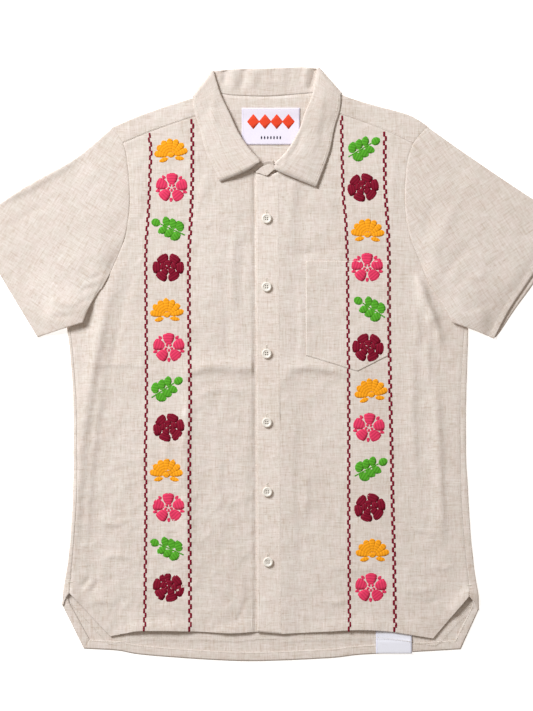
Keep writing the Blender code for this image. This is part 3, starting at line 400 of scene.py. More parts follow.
def mesh_piece(name, points, faces, material, lays=None, wells=None, welded=True):
    """A smooth piece on the fixed body, from points in millimetres and faces. The places of its points on its
    map and the depths of its wells are kept where they are given, and points that meet are welded."""
    mesh = bpy.data.meshes.new(name)
    mesh.from_pydata((points * MM).tolist(), [], faces)
    if lays is not None:
        on_vertex = np.zeros(len(mesh.loops), np.int32)
        mesh.loops.foreach_get("vertex_index", on_vertex)
        flat = (lays * MM)[on_vertex].astype(np.float32)
        mesh.uv_layers.new(name="lay").data.foreach_set("uv", flat.ravel())
    if wells is not None:
        mesh.attributes.new("well", "FLOAT", "POINT").data.foreach_set("value", wells.astype(np.float32).ravel())
    if welded:
        joined = bmesh.new()
        joined.from_mesh(mesh)
        bmesh.ops.remove_doubles(joined, verts=joined.verts, dist=WELD)
        bmesh.ops.recalc_face_normals(joined, faces=joined.faces)
        joined.to_mesh(mesh)
        joined.free()
    mesh.shade_smooth()
    mesh.materials.append(material)
    piece = in_scene(name, mesh)
    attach(piece, "root")
    return piece


def cloth(name, grids, material, wall=LINEN_WALL, lays=None):
    """A piece of cloth: grids of points sharing edges, merged into one sheet, with a wall from Solidify. Grids
    of places on the flat cloth, where they are given, become its map."""
    faces, count = [], 0
    for grid in grids:
        faces.append(grid_faces(*grid.shape[:2]) + count)
        count += grid.shape[0] * grid.shape[1]
    points = np.vstack([grid.reshape(-1, 3) for grid in grids])
    lays = None if lays is None else np.vstack([lay.reshape(-1, 2) for lay in lays])
    piece = mesh_piece(name, points, np.vstack(faces).tolist(), material, lays)
    sheet = piece.modifiers.new("wall", "SOLIDIFY")
    sheet.thickness, sheet.offset, sheet.use_even_offset = wall * MM, 0, True
    return piece


def fill(tree, node, sockets):
    """Each named socket of a node linked from the output it is given, or set to the constant it is given."""
    for name, value in sockets.items():
        if isinstance(value, bpy.types.NodeSocket):
            tree.links.new(value, node.inputs[name])
        else:
            node.inputs[name].default_value = value


def add(tree, kind, sockets=None, **settings):
    """A new shader node with its settings, its sockets linked or set. Gives the node's outputs."""
    node = tree.nodes.new("ShaderNode" + kind)
    for name, value in settings.items():
        setattr(node, name, value)
    fill(tree, node, sockets or {})
    return node.outputs


def new_group(name, given, gives):
    """An empty node group with named sockets: the kinds of what it is given, and the numbers it gives."""
    group = bpy.data.node_groups.new(name, "ShaderNodeTree")
    for socket, kind in given.items():
        group.interface.new_socket(socket, in_out="INPUT", socket_type="NodeSocket" + kind)
    for socket in gives:
        group.interface.new_socket(socket, in_out="OUTPUT", socket_type="NodeSocketFloat")
    return group, group.nodes.new("NodeGroupInput").outputs, group.nodes.new("NodeGroupOutput")


def new_material(name):
    """A new material, its node tree and its shader."""
    made = bpy.data.materials.new(name)
    made.use_nodes = True
    return made, made.node_tree, made.node_tree.nodes["Principled BSDF"]


def streaks(tree, place, waves, detail=1.0):
    """Noise on a place stretched to these numbers of waves a metre sideways, along and down."""
    stretched = add(tree, "VectorMath", {0: place, 1: waves}, operation="MULTIPLY")[0]
    return add(tree, "TexNoise", {"Vector": stretched, "Scale": 1.0, "Detail": detail})["Fac"]


def between(tree, value, start, stop, low=0.0, high=1.0):
    """The value's range from start to stop made one from low to high, and level beyond it."""
    sockets = {"Value": value, "From Min": start, "From Max": stop, "To Min": low, "To Max": high}
    return add(tree, "MapRange", sockets)[0]


def ramp(tree, value, low, high, start=0.0, stop=1.0):
    """Colours from one to another over a range of a value."""
    tone = tree.nodes.new("ShaderNodeValToRGB")
    for end, colour, at in zip(tone.color_ramp.elements, (low, high), (start, stop)):
        end.color, end.position = (*colour, 1), at
    fill(tree, tone, {"Fac": value})
    return tone.outputs["Color"]


def mix(tree, one, two, share, kind="MIX"):
    """Two colours mixed, the second one by its share."""
    return add(tree, "Mix", {"Factor": share, "A": one, "B": two}, data_type="RGBA", blend_type=kind)["Result"]


def bump(tree, height, strength, deep):
    """The surface's directions, tilted by a height of this strength and depth in metres."""
    return add(tree, "Bump", {"Height": height, "Strength": strength, "Distance": deep})["Normal"]


def make_linen_weave():
    """Group for woven linen: long thin noise down the cloth and across it for the uneven yarns, its high parts
    again for dark slubs, finer noise both ways for the single threads, wide noise for the uneven tone and tint,
    and the peaks of one noise for the flecks."""
    group, given, out = new_group("linen_weave", {"Place": "Vector"}, ("Tone", "Tint", "Fleck", "Height"))

    def noises(table, detail=1.0):
        """Streaks on the group's place, one for each row."""
        return [streaks(group, given["Place"], waves, detail) for waves in table]

    def mixed(values, weights):
        """One half and the weighted sum of values, each less its middle of one half."""
        total = 0.5 - sum(weights) / 2
        for value, weight in zip(values, weights):
            total = add(group, "Math", {0: value, 1: weight, 2: total}, operation="MULTIPLY_ADD")[0]
        return total

    yarns, threads, swells, tint = noises(YARNS), noises(SINGLE_THREADS), noises(SWELLS), noises(TINT, 2.0)
    slubs = [between(group, noise, *SLUB_RANGE, 0.5, 0.0) for noise in noises(SLUBS)]
    fleck = between(group, noises(FLECKS, 0.0)[0], *FLECK_RANGE, 0.0, FLECK_SHARE)
    fill(group, out, {"Tone": mixed(yarns + slubs + threads + noises(CLOUD, 3.0), TONE_WEIGHTS), "Tint": tint[0],
                      "Fleck": fleck, "Height": mixed(yarns + threads + swells, HEIGHT_WEIGHTS)})
    return group


# The noises of the weave by their waves a metre sideways, along and down, and their weights in tone and height
YARNS, SLUBS = ((520, 34, 200), (38, 560, 200)), ((470, 60, 260), (64, 500, 260))
SINGLE_THREADS, SWELLS = ((1150, 130, 600), (140, 1250, 600)), ((110, 60, 90), (60, 120, 90), (42, 36, 40))
CLOUD, TINT, FLECKS = ((13, 10, 10),), ((90, 75, 80),), ((230, 640, 300),)
TONE_WEIGHTS = (0.31, 0.31, 0.42, 0.42, 0.38, 0.38, 0.22)
HEIGHT_WEIGHTS = (0.7, 0.7, 0.8, 0.8, 1.8, 1.8, 3.4)
SLUB_RANGE, FLECK_RANGE, FLECK_SHARE = (0.56, 0.80), (0.73, 0.82), 0.3
linen_weave = make_linen_weave()
LINEN_DARK, LINEN_LIGHT, LINEN_FLECK = (0.610, 0.507, 0.434), (0.845, 0.776, 0.736), (0.38, 0.27, 0.18)
LINEN_TINTS = (0.997, 0.981, 0.968), (0.977, 0.985, 0.960)
TONE_RANGE, TINT_RANGE = (0.22, 0.78), (0.38, 0.62)
LINEN_ROUGH, LINEN_BUMP, LINEN_DEEP = 0.95, 0.2, 0.0006


def linen(name, turn, shift, mapped=False, bright=1.0):
    """Linen for one piece, its grain turned by degrees and shifted in metres to the piece's own cut. It lies on
    the piece's map where it has one."""
    made, tree, shader = new_material(name)
    where = add(tree, "UVMap", uv_map="lay")["UV"] if mapped else add(tree, "TexCoord")["Object"]
    grain = add(tree, "Mapping", {"Vector": where, "Rotation": (0, 0, math.radians(turn)), "Location": (*shift, 0)})
    weave = add(tree, "Group", {"Place": grain[0]}, node_tree=linen_weave)
    dark, light = ([part * bright for part in shade] for shade in (LINEN_DARK, LINEN_LIGHT))
    colour = ramp(tree, weave["Tone"], dark, light, *TONE_RANGE)
    colour = mix(tree, colour, ramp(tree, weave["Tint"], *LINEN_TINTS, *TINT_RANGE), 1.0, "MULTIPLY")
    fill(tree, shader, {"Base Color": mix(tree, colour, (*LINEN_FLECK, 1), weave["Fleck"]),
                        "Normal": bump(tree, weave["Height"], LINEN_BUMP, LINEN_DEEP), "Roughness": LINEN_ROUGH,
                        "Sheen Weight": 0.05, "Specular IOR Level": 0.15})
    return made


def with_vent_turn(side, outline, seam):
    """Outline and inner line of the folded strip, run on below the seam: there the vent's edge crosses the fold
    on a slant, so the inner line curves out to the fold."""
    way, low = SIDES[side], np.array(BACK_VENT[side][1])
    end = low - (way * (FOLD / 2 + VENT_TURN_IN), 0)
    middle = (seam[0] + low) / 2 + np.multiply((way, 1), VENT_TURN_BOW)
    inner = divide([end, middle, seam[0]], VENT_TURN_CELLS)
    return chain(evenly([low, outline[0]], VENT_TURN_CELLS), outline), chain(inner, seam)


def back_sheets():
    """The flat of the back, and at each side the half circles of its fold with the strip up to the seam."""
    edges, wraps = {}, []
    for side, way in SIDES.items():
        outline, seam = with_vent_turn(side, *side_lines(side))
        tangent = outline - (way * FOLD / 2, 0)
        arm = armhole_line(side)[SHOULDER_CELLS + BACK_YOKE_CELLS :][::-1]
        under = divide([tangent[-1]] + UNDERARM[side][::-1], UNDERARM_CELLS)
        vent = divide(BACK_VENT[side][:2], VENT_CELLS)
        edges[side] = chain(vent, np.array([vent[-1], tangent[0]]), tangent, under, arm)
        upper = shaped(tangent, front_height, -FOLD_BELOW_FRONT)
        fold = half_turn(raised(tangent, BACK_HEIGHT), upper, np.array([way, 0.0]))
        inner = shaped(seam, front_height, -SIDE_SEAM_DEEP[side])
        near = [upper + (inner - upper) * part + (0, 0, high) for part, high in SIDE_STRIP[side]]
        wraps.append(np.concatenate([fold, np.stack(near), inner[None]]))
    bottom = divide(BACK_HEM, BACK_COLUMNS)
    top = evenly([edges["right"][-1], edges["left"][-1]], BACK_COLUMNS)
    return [shaped(panel(bottom, top, edges["right"], edges["left"]), back_height)] + wraps


back = cloth("linen_back", back_sheets(), linen("linen_of_back", 0.0, (0.31, 0.17)))
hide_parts("back_panel")

# The turned hem inside the back
# The back hem and the vents are turned up inside and stitched down. The strip shows below the front hems, mitred
# at the cut corners, because the back is longer.

FACING_WALL = 0.7
FACING_WIDTH, FACING_SETBACK, FACING_HEIGHT = 12.0, 0.8, 1.75
FACING_END_IN, FACING_END_UP = 1.6, 22.0
FACING_NARROW, FACING_END = 0.8, 0.4
FACING_CELLS, FACING_ROWS, BACK_HEM_STEPS = (4, 30, 190, 30, 4), 9, 96
FACING_BOW, FACING_FALL, FACING_MITRE = 0.25, 0.15, (0.3, 0.9)
FACING_PUCKERS = (0.2, 0.5, 13.0, 11)  # how high, how slanted, how long, seed
FACING_STITCHES_IN = 1.6
LINEN_THREAD, SEWING_THREAD = (0.80, 0.73, 0.64), 260.0  # colour, and waves that show its single threads
STITCH_PITCH, STITCH = 3.1, (2.5, 0.62, 0.42)
PAD_BLUNT, PAD_FOOT, PAD_SINK, PAD_LAYS_APART = 0.06, 0.35, 0.25, 7.3
# How much painted light the threads' crests get, the range of the painted shading between them, and their relief
THREAD_CREST_LIGHT, THREAD_RANGE, THREAD_RELIEF = 1.12, (0.1, 0.65), (0.5, 0.0003)


def beside(line, away):
    """The line moved sideways to its left by a distance, square to its run, with its corners mitred."""
    along = unit(np.diff(line, axis=0))
    square = np.stack([-along[:, 1], along[:, 0]], axis=1)
    before, after = np.vstack([square[:1], square]), np.vstack([square, square[-1:]])
    mitre = unit(before + after)
    return line + mitre / (mitre * before).sum(axis=1, keepdims=True) * away


def facing_runs(away):
    """The straight and curved runs of the turned hem at a distance inside the edge: up one vent, along the
    hem, up the other, narrower up the vents. Each is cut short at its corners by its distance there times the
    tangent of half the turn."""
    right, left = BACK_VENT["right"], BACK_VENT["left"]
    start = np.array(right[1]) + (FACING_END_IN, FACING_END_UP)
    stop = np.array(left[1]) + (-FACING_END_IN, FACING_END_UP)
    edges = [np.array([start, right[1]]), np.array([right[1], right[0]]), divide(BACK_HEM, BACK_HEM_STEPS),
             np.array([left[0], left[1]]), np.array([left[1], stop])]
    ways = [(unit(edge[1] - edge[0]), unit(edge[-1] - edge[-2])) for edge in edges]
    turns = [math.acos(float(np.clip(a[1] @ b[0], -1, 1))) for a, b in zip(ways, ways[1:])]
    reach = away * np.array([FACING_END, FACING_NARROW, 1, 1, FACING_NARROW, FACING_END])
    runs = []
    corners = zip(reach, reach[1:], [0] + turns, turns + [0])
    for edge, (start, stop, before, after), cells in zip(edges, corners, FACING_CELLS):
        line = beside(edge, np.linspace(start, stop, len(edge))[:, None])
        cut = np.array([start, stop]) * np.tan([before / 2, after / 2])
        runs.append(places_along(line, np.linspace(cut[0], lengths(line)[-1] - cut[1], cells + 1)))
    for one, two in zip(runs, runs[1:]):
        one[-1] = two[0] = (one[-1] + two[0]) / 2
    return runs


def facing_form(x, y, across):
    """Height of the turned hem: full over the fold, falling to its stitched inner edge, slightly puckered."""
    high, slant, size, seed = FACING_PUCKERS
    bow = np.sin(math.pi * across)
    pucker = high * ripples(x + slant * y, y, size, seed) * bow
    return FACING_HEIGHT + FACING_BOW * bow - FACING_FALL * across + pucker


def facing_sheets():
    """For each run, lines from just inside the edge to the strip's width, raised by the strip's form."""
    across = np.linspace(0, 1, FACING_ROWS + 1)
    lines = [facing_runs(FACING_SETBACK + (FACING_WIDTH - FACING_SETBACK) * part) for part in across]
    sheets = []
    for run in zip(*lines):
        plan = closer(np.stack(run), "left", "right")
        height = facing_form(plan[..., 0], plan[..., 1], across[:, None])
        mitres = sum(seam_dip(from_edge(plan, edge), *FACING_MITRE) for edge in ("left", "right"))
        sheets.append(raised(plan, height + mitres))
    return sheets


def make_thread_lay():
    """Group for laid thread: waves along the piece's map give the single threads, with painted shade between them,
    and noise breaks them up.
    """
    group, given, out = new_group("thread_lay", {"Map": "Vector", "Threads": "Float"}, ("Tone", "Height"))
    wave = add(group, "TexWave", {"Vector": given["Map"], "Scale": given["Threads"], "Distortion": 1.6,
                                  "Detail": 1.0, "Detail Scale": 1.5})["Fac"]
    noise = add(group, "TexNoise", {"Vector": given["Map"], "Scale": 900.0})["Fac"]
    soft = add(group, "Math", {0: noise, 1: 0.4}, operation="MULTIPLY")[0]
    tone = add(group, "Math", {0: wave, 1: 0.6, 2: soft}, operation="MULTIPLY_ADD")[0]
    fill(group, out, {"Tone": tone, "Height": wave})
    return group


thread_lay = make_thread_lay()


def thread(name, colour, threads, deep, shine=0.3):
    """Thread of one colour, laid in waves along the piece's own map, with painted shade between the single threads
    and painted light on their crests.
    """
    made, tree, shader = new_material(name)
    lay = add(tree, "Group", {"Map": add(tree, "UVMap", uv_map="lay")["UV"], "Threads": threads},
              node_tree=thread_lay)
    colour = np.array(colour)
    # Painted shade between the single threads and painted light on their crests, broken up by noise
    tone = ramp(tree, lay["Tone"], colour * deep, np.minimum(colour * THREAD_CREST_LIGHT, 1), *THREAD_RANGE)
    fill(tree, shader, {"Base Color": tone, "Normal": bump(tree, lay["Height"], *THREAD_RELIEF),
                        "Roughness": 1 - shine, "Specular IOR Level": 0.12})
    return made


def pads(place, way, length, width, height, taper=0.0, square=2.0, rings=5, sides=6):
    """Pads of thread. Along each, its half width and height follow a rounded outline, one less a power of the
    place along it, its ends sink, and across it the pad is half an ellipse with a shallow foot.

    place is their middles, way their directions in radians, and the sizes are full ones, not halves. It gives
    the plan, the rise above the cloth and the places on the map."""
    count = len(place)
    way, length, width, height, taper = (np.broadcast_to(each, count)[:, None, None]
                                         for each in (way, length, width, height, taper))
    s = np.sin(np.linspace(-math.pi / 2, math.pi / 2, rings))[None, :, None]
    outline = np.maximum(np.maximum(1 - np.abs(s) ** square, 0) ** (1 / square), PAD_BLUNT)
    angle = (np.arange(sides) * 2 * math.pi / sides + math.pi / sides)[None, None, :]
    along = s * length / 2 + 0 * angle
    across = width / 2 * outline * (1 + taper * s) * np.cos(angle)
    up = height * outline * np.where(np.sin(angle) > 0, np.sin(angle), PAD_FOOT * np.sin(angle))
    up = up - PAD_SINK * height * np.abs(s) ** 4
    x = place[:, 0, None, None] + along * np.cos(way) - across * np.sin(way)
    y = place[:, 1, None, None] + along * np.sin(way) + across * np.cos(way)
    lay = np.stack([along, across], axis=-1) + (np.arange(count) * PAD_LAYS_APART)[:, None, None, None]
    return np.stack([x, y], axis=-1), up, lay


def sewn(name, groups, form, material):
    """One mesh of many pads that lie on the cloth: each point's height is the cloth's there plus its rise."""
    points, faces, lays, count = [], [], [], 0
    for plan, up, lay in groups:
        many, rings, sides = up.shape
        points.append(shaped(plan, form, up).reshape(-1, 3))
        ring = np.arange(rings * sides).reshape(rings, sides)
        next_one = np.roll(ring, -1, axis=1)
        wall = np.stack([ring[:-1], next_one[:-1], next_one[1:], ring[1:]], axis=-1).reshape(-1, 4)
        start = (np.arange(many) * rings * sides)[:, None, None] + count
        faces += (wall[None] + start).reshape(-1, 4).tolist()
        faces += (ring[0][::-1][None] + start[:, 0]).tolist() + (ring[-1][None] + start[:, 0]).tolist()
        lays.append(lay.reshape(-1, 2))
        count += up.size
    return mesh_piece(name, np.vstack(points), faces, material, np.vstack(lays), welded=False)


def on_top(form, wall, sink=0.08):
    """The top of a piece of cloth for what is sewn on it: its middle and half its wall, less what sinks in."""
    return lambda x, y: form(x, y) + wall / 2 - sink


def laid(line, count):
    """Middles and directions of this many equal steps along a line."""
    ends = evenly(line, count)
    step = np.diff(ends, axis=0)
    return (ends[1:] + ends[:-1]) / 2, np.arctan2(step[:, 1], step[:, 0])


def stitches(line, pitch=STITCH_PITCH, length=STITCH[0], width=STITCH[1], height=STITCH[2]):
    """Running stitches along a plan line, one to each equal cell of about the pitch."""
    return pads(*laid(line, max(1, int(round(lengths(line)[-1] / pitch)))), length, width, height)


linen_thread = thread("linen_sewing_thread", LINEN_THREAD, SEWING_THREAD, 0.75, shine=0.25)
facing = cloth("linen_back_hem", facing_sheets(), linen("linen_of_back_hem", 90.0, (0.12, 0.44)), FACING_WALL)
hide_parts("back_hem_facing")
hem_stitches = [stitches(run, width=0.5, height=0.28) for run in facing_runs(FACING_WIDTH - FACING_STITCHES_IN)]
sewn("back_hem_stitching", hem_stitches, on_top(lambda x, y: FACING_HEIGHT + 0 * x, FACING_WALL, sink=-0.2),
     linen_thread)

# The yoke
# A doubled piece of linen over both shoulders: flat across the back, folded over at the shoulders, and lapped
# over the fronts with a stitched seam.

SHOULDER = {"right": [(-80.6, 344.6), (-95.5, 339.6), (-153.6, 320.5), (-199.8, 301.5)],
            "left": [(78.0, 348.6), (92.7, 343.2), (132.4, 330.6), (179.2, 317.6), (203.6, 303.5)]}
BACK_NECK = [(-80.6, 344.6), (-60.7, 346.0), (-44.0, 343.9), (0.0, 342.6), (45.3, 346.0), (78.0, 348.6)]
YOKE_NECK = {"right": [(-80.6, 344.6), (-80.6, 334.0), (-79.0, 322.0)],
             "left": [(78.0, 348.6), (78.0, 337.0), (76.6, 324.5)]}
YOKE_CELLS, BACK_NECK_CELLS = 54, 48
YOKE_FULLER, YOKE_SEAMS_DEEP = 0.15, {"top": 0.45, "right": 0.4}
YOKE_STITCHES_IN, YOKE_SEAM_STEPS = 1.7, 60


def outward_of(line, away_from):
    """Plan directions square to a line, on the side away from a point."""
    along = unit(np.gradient(line, axis=0))
    square = np.stack([-along[:, 1], along[:, 0]], axis=1)
    facing_out = ((line - np.asarray(away_from)) * square).sum(axis=1, keepdims=True)
    return square * np.sign(facing_out)


def yoke_front_height(x, y):
    """The front strips of the yoke: the fronts' height, a little fuller for the seam's layers inside."""
    return front_height(x, y) + YOKE_FULLER


def yoke_sheets():
    """The back part between armholes and neck, and for each shoulder its fold and its front strip."""
    arms = {side: armhole_line(side) for side in SIDES}
    shoulders = {side: divide(SHOULDER[side], YOKE_CELLS) for side in SIDES}
    top = chain(shoulders["right"][::-1], divide(BACK_NECK, BACK_NECK_CELLS), shoulders["left"])
    corner = SHOULDER_CELLS + BACK_YOKE_CELLS
    bottom = evenly([arms["right"][corner], arms["left"][corner]], len(top) - 1)
    sheets = [shaped(panel(bottom, top, arms["right"][corner::-1], arms["left"][corner::-1]), back_height)]
    for side in SIDES:
        down_neck = divide(YOKE_NECK[side], SHOULDER_CELLS)
        seam = divide(YOKE_SEAM[side], YOKE_CELLS)[::-1]
        plan = panel(shoulders[side], seam, down_neck, arms[side][: SHOULDER_CELLS + 1])
        plan = closer(plan, "top", "right")
        dips = sum(seam_dip(from_edge(plan, edge), deep) for edge, deep in YOKE_SEAMS_DEEP.items())
        front_part = shaped(plan, yoke_front_height, dips)
        fold_line = front_part[0, :, :2]
        over = half_turn(shaped(fold_line, back_height), front_part[0], outward_of(fold_line, (0, 0)))
        sheets.append(np.concatenate([over[:-1], front_part]))
    return sheets


yoke = cloth("linen_yoke", yoke_sheets(), linen("linen_of_yoke", 90.0, (0.55, 0.08)))
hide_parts("yoke")
lines = [beside(divide(YOKE_SEAM[side], YOKE_SEAM_STEPS), -way * YOKE_STITCHES_IN) for side, way in SIDES.items()]
sewn("yoke_stitching", map(stitches, lines), on_top(yoke_front_height, LINEN_WALL, sink=0.1), linen_thread)

# The two fronts
# Each front is one panel of the same linen, seamed to the yoke, the sleeve and the back, with a hem turned up
# and stitched. The right one runs on under the buttonhole band, and the left one ends at the band's stitching.

FRONT_HEM = {
    "right": [(-201.6, -348.7), (-181.8, -344.7), (-160.0, -341.7), (-93.4, -342.5), (-49.9, -344.7),
              (-17.0, -342.9)],
    "left": [(211.2, -351.4), (188.2, -347.6), (154.9, -342.5), (117.8, -340.5), (78.1, -342.5),
             (33.3, -344.7), (17.3, -345.5)],
}
FRONT_NECK = {
    "right": [(-79.0, 322.0), (-73.0, 303.0), (-61.0, 281.0), (-43.0, 262.5), (-15.4, 245.6)],
    "left": [(76.6, 324.5), (71.5, 307.0), (60.0, 285.0), (43.0, 266.5), (13.2, 246.0)],
}
UNDERLAP_NECK = [(-15.4, 245.6), (-3.0, 246.2), (9.0, 247.0)]
UNDERLAP_HEM = [(-17.0, -342.9), (10.0, -343.0)]
UNDERLAP_EDGE = [(9.0, 247.0), (10.0, -343.0)]
PLACKET_SEAM = [(13.2, 246.0), (17.3, -345.5)]
FRONT_NECK_CELLS, UNDERLAP_CELLS = 50, 12
FRONT_HEM_STEPS, UNDERLAP_HEM_STEPS = 120, 8
SINK_SPLIT = 6  # each of the three columns where the right front sinks is cut into so many
SIDE_SEAM_PARTS = {"right": (0.6, 0.98), "left": CLOSER_PARTS}
FRONT_YOKE_SEAM_DEEP = 0.4
HEM_WIDTH, HEM_OVER, HEM_ENDS_PAST, HEM_EASE = 8.5, 0.3, 0.5, 2.5
HEM_GROOVE, HEM_GROOVE_WIDE = 0.22, 1.3
HEM_PUCKER, HEM_PUCKER_WIDE, HEM_PUCKER_TURNS = 0.22, 7.0, (620, 97)
ARMHOLE_STITCHES_IN = 2.0
TACK_ABOVE_VENT, TACK_LONG = 14.0, 6.0  # a bar tack closes each side seam above its vent


def front_plan(side):
    """Plan of a front: hem and slant of the vent below, side seam, underarm and armhole outside, yoke seam
    and neck above, middle edge inside. The right one has finer columns where it sinks beside the band."""
    arm = armhole_line(side)[SHOULDER_CELLS:][::-1]
    seam = side_lines(side)[1]
    under = divide([tuple(seam[-1])] + UNDERARM[side][::-1], UNDERARM_CELLS)
    outer = chain(seam, under, arm)
    slant = evenly([seam[0], FRONT_HEM[side][0]], VENT_CELLS)
    bottom = chain(slant, divide(FRONT_HEM[side], YOKE_CELLS + FRONT_NECK_CELLS - VENT_CELLS))
    top = chain(divide(YOKE_SEAM[side], YOKE_CELLS), divide(FRONT_NECK[side], FRONT_NECK_CELLS))
    if side == "right":
        bottom = chain(bottom, evenly(UNDERLAP_HEM, UNDERLAP_CELLS))
        top = chain(top, divide(UNDERLAP_NECK, UNDERLAP_CELLS))
    middle = evenly((UNDERLAP_EDGE if side == "right" else PLACKET_SEAM)[::-1], len(outer) - 1)
    plan = panel(bottom, top, outer, middle)
    if side == "right":
        last = plan.shape[1] - 1
        first, after = last - UNDERLAP_CELLS - 2, last - UNDERLAP_CELLS + 1
        at = np.concatenate([np.arange(first), np.linspace(first, after, (after - first) * SINK_SPLIT + 1),
                             np.arange(after + 1, last + 1)])
        before = np.minimum(at.astype(int), last - 1)
        plan = plan[:, before] + (plan[:, before + 1] - plan[:, before]) * (at - before)[:, None]
    return closer(closer(plan, "left", parts=SIDE_SEAM_PARTS[side]), "top", "bottom", "right")


def hem_line(side):
    """The front's lower edge, from the side vent down its slant and along the hem to the middle."""
    seam = side_lines(side)[1]
    line = chain(evenly([seam[0], FRONT_HEM[side][0]], VENT_CELLS), divide(FRONT_HEM[side], FRONT_HEM_STEPS))
    return chain(line, evenly(UNDERLAP_HEM, UNDERLAP_HEM_STEPS)) if side == "right" else line


def front_form(side):
    """A front's height anywhere on it: the fronts' common height, fuller over the turned hem, with a groove
    and small puckers along the hem's stitching."""
    line = hem_line(side)

    def form(x, y):
        away, place, _ = along_line(x, y, line)
        away = away - HEM_WIDTH
        hem = 1 - ease((away - HEM_ENDS_PAST) / HEM_EASE)
        groove = -HEM_GROOVE * np.exp(-((away / HEM_GROOVE_WIDE) ** 2))
        turns, uneven = HEM_PUCKER_TURNS
        pucker = HEM_PUCKER * np.sin(place * turns + 3 * np.sin(place * uneven))
        return front_height(x, y) + HEM_OVER * hem + groove + pucker * np.exp(-((away / HEM_PUCKER_WIDE) ** 2))

    return form


fronts, forms = {}, {}
for side, way in SIDES.items():
    plan = front_plan(side)
    forms[side] = front_form(side)
    dips = seam_dip(from_edge(plan, "left"), SIDE_SEAM_DEEP[side])
    dips = dips + seam_dip(from_edge(plan, "top"), FRONT_YOKE_SEAM_DEEP)
    fronts[side] = cloth(f"linen_{side}_front", [shaped(plan, forms[side], dips)],
                         linen(f"linen_of_{side}_front", 0.0, (0.07 * way, 0.23)))
    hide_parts(f"{side}_front")
for side, way in SIDES.items():
    seam = side_lines(side)[1]
    tack_y = seam[0, 1] + TACK_ABOVE_VENT
    tack_x = np.interp(tack_y, seam[:, 1], seam[:, 0])
    tack = [(tack_x - TACK_LONG / 2, tack_y), (tack_x + TACK_LONG / 2, tack_y)]
    arm = beside(armhole_line(side)[SHOULDER_CELLS:], -way * ARMHOLE_STITCHES_IN)
    sewn(f"{side}_front_stitching", [stitches(beside(hem_line(side), way * HEM_WIDTH)),
                                     stitches(arm, width=0.45, height=0.22),
                                     stitches(tack, pitch=0.9, length=0.85, width=2.2, height=0.35)],
         on_top(forms[side], LINEN_WALL), linen_thread)

# The buttonhole band
# A strip of the left front folded on itself, stitched down along its seam and edge, lying over the right front.

PLACKET_WALL = 1.4
PLACKET_NECK = [(-15.2, 243.9), (0.0, 241.4), (13.2, 246.0)]
PLACKET_EDGE = [(-15.2, 243.9), (-13.4, -343.0)]
PLACKET_ROWS, PLACKET_COLUMNS, PLACKET_STEPS = 200, 12, 60
PLACKET_EDGE_ROUND, PLACKET_RIPPLES = (0.35, 1.2), (0.08, 24.0, 5)
PLACKET_STITCHES_IN = 2.2
PLACKET_CREASES = [
    ([(-14, 222), (0, 220), (14, 224)], 2.6, 0.28, 0.0),
    ([(-14, 214), (2, 213), (13, 211)], 2.2, -0.3, 0.2),
    ([(-14, 206), (0, 207), (13, 203)], 2.6, 0.25, 0.0),
    ([(-13, 150), (2, 148), (14, 151)], 3.0, -0.25, 0.1),
    ([(-14, 52), (0, 49), (14, 55)], 3.0, 0.25, 0.0),
    ([(-14, -8), (2, -12), (16, -9)], 4.0, -0.35, 0.2),
    ([(-13, -118), (3, -121), (16, -116)], 3.0, 0.25, 0.0),
    ([(-13, -214), (3, -210), (16, -214)], 3.0, -0.3, 0.1),
    ([(-13, -300), (3, -303), (16, -298)], 3.0, 0.3, 0.1),
]


def placket_form(x, y):
    """Height of the band: level, rounded down at its left edge, with small wrinkles across it."""
    edge_x, edge_y = np.array(PLACKET_EDGE)[::-1].T
    round_off = seam_dip(x - np.interp(y, edge_y, edge_x), *PLACKET_EDGE_ROUND)
    high, size, seed = PLACKET_RIPPLES
    return PLACKET_HEIGHT + creases(x, y, PLACKET_CREASES) + high * ripples(x, y, size, seed) + round_off


bottom = evenly([PLACKET_EDGE[1], PLACKET_SEAM[1]], PLACKET_COLUMNS)
top = divide(PLACKET_NECK, PLACKET_COLUMNS)
plan = panel(bottom, top, evenly(PLACKET_EDGE[::-1], PLACKET_ROWS), evenly(PLACKET_SEAM[::-1], PLACKET_ROWS))
band = cloth("linen_buttonhole_band", [shaped(closer(plan, "left", "right"), placket_form)],
             linen("linen_of_band", 0.0, (0.41, 0.36), bright=1.06), PLACKET_WALL)
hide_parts("front_placket")
lines = [beside(evenly(line, PLACKET_STEPS), away)
         for line, away in ((PLACKET_EDGE, PLACKET_STITCHES_IN), (PLACKET_SEAM, -PLACKET_STITCHES_IN))]
sewn("band_stitching", map(stitches, lines), on_top(placket_form, PLACKET_WALL), linen_thread)

# The sleeves
# Short sleeves, each a tube laid flat: set into the armhole at one end, hemmed at the cuff, with a soft fold
# along the shoulder and one below the arm that lies a little over the body.

SLEEVE_TOP = {
    "right": [(-199.8, 301.5), (-248.3, 261.5), (-310.0, 226.0), (-381.5, 180.5)],
    "left": [(203.6, 303.5), (252.7, 269.0), (301.7, 235.6), (381.5, 182.5)],
}
SLEEVE_OVER_BODY = {"right": [(-212.5, 97.3), (-222.2, 84.2), (-230.4, 69.5), (-236.8, 53.2)],
                    "left": [(206.7, 102.1), (220.2, 81.4), (230.8, 62.7), (235.6, 53.6)]}
SLEEVE_UNDER = {"right": [(-236.8, 53.2), (-258.2, 46.6), (-295.4, 34.6)],
                "left": [(235.6, 53.6), (265.9, 42.6), (289.5, 32.9)]}
CUFF = {"right": [(-381.5, 180.5), (-343.0, 113.9), (-295.4, 34.6)],
        "left": [(381.5, 182.5), (339.2, 113.9), (310.0, 70.8), (289.5, 32.9)]}
CUFF_SHOWS = {"right": 0.0, "left": 7.0}
CUFF_SLIDE_POWER = 6
CUFF_HEM, CUFF_HEM_EASE, CUFF_OVER = 6.5, 1.6, 0.4
CUFF_GROOVE_AT, CUFF_GROOVE = 7.0, (0.35, 1.2)
SLEEVE_PUFF, SLEEVE_PUFF_FROM, SLEEVE_PUFF_TO = 1.6, 0.12, 0.95
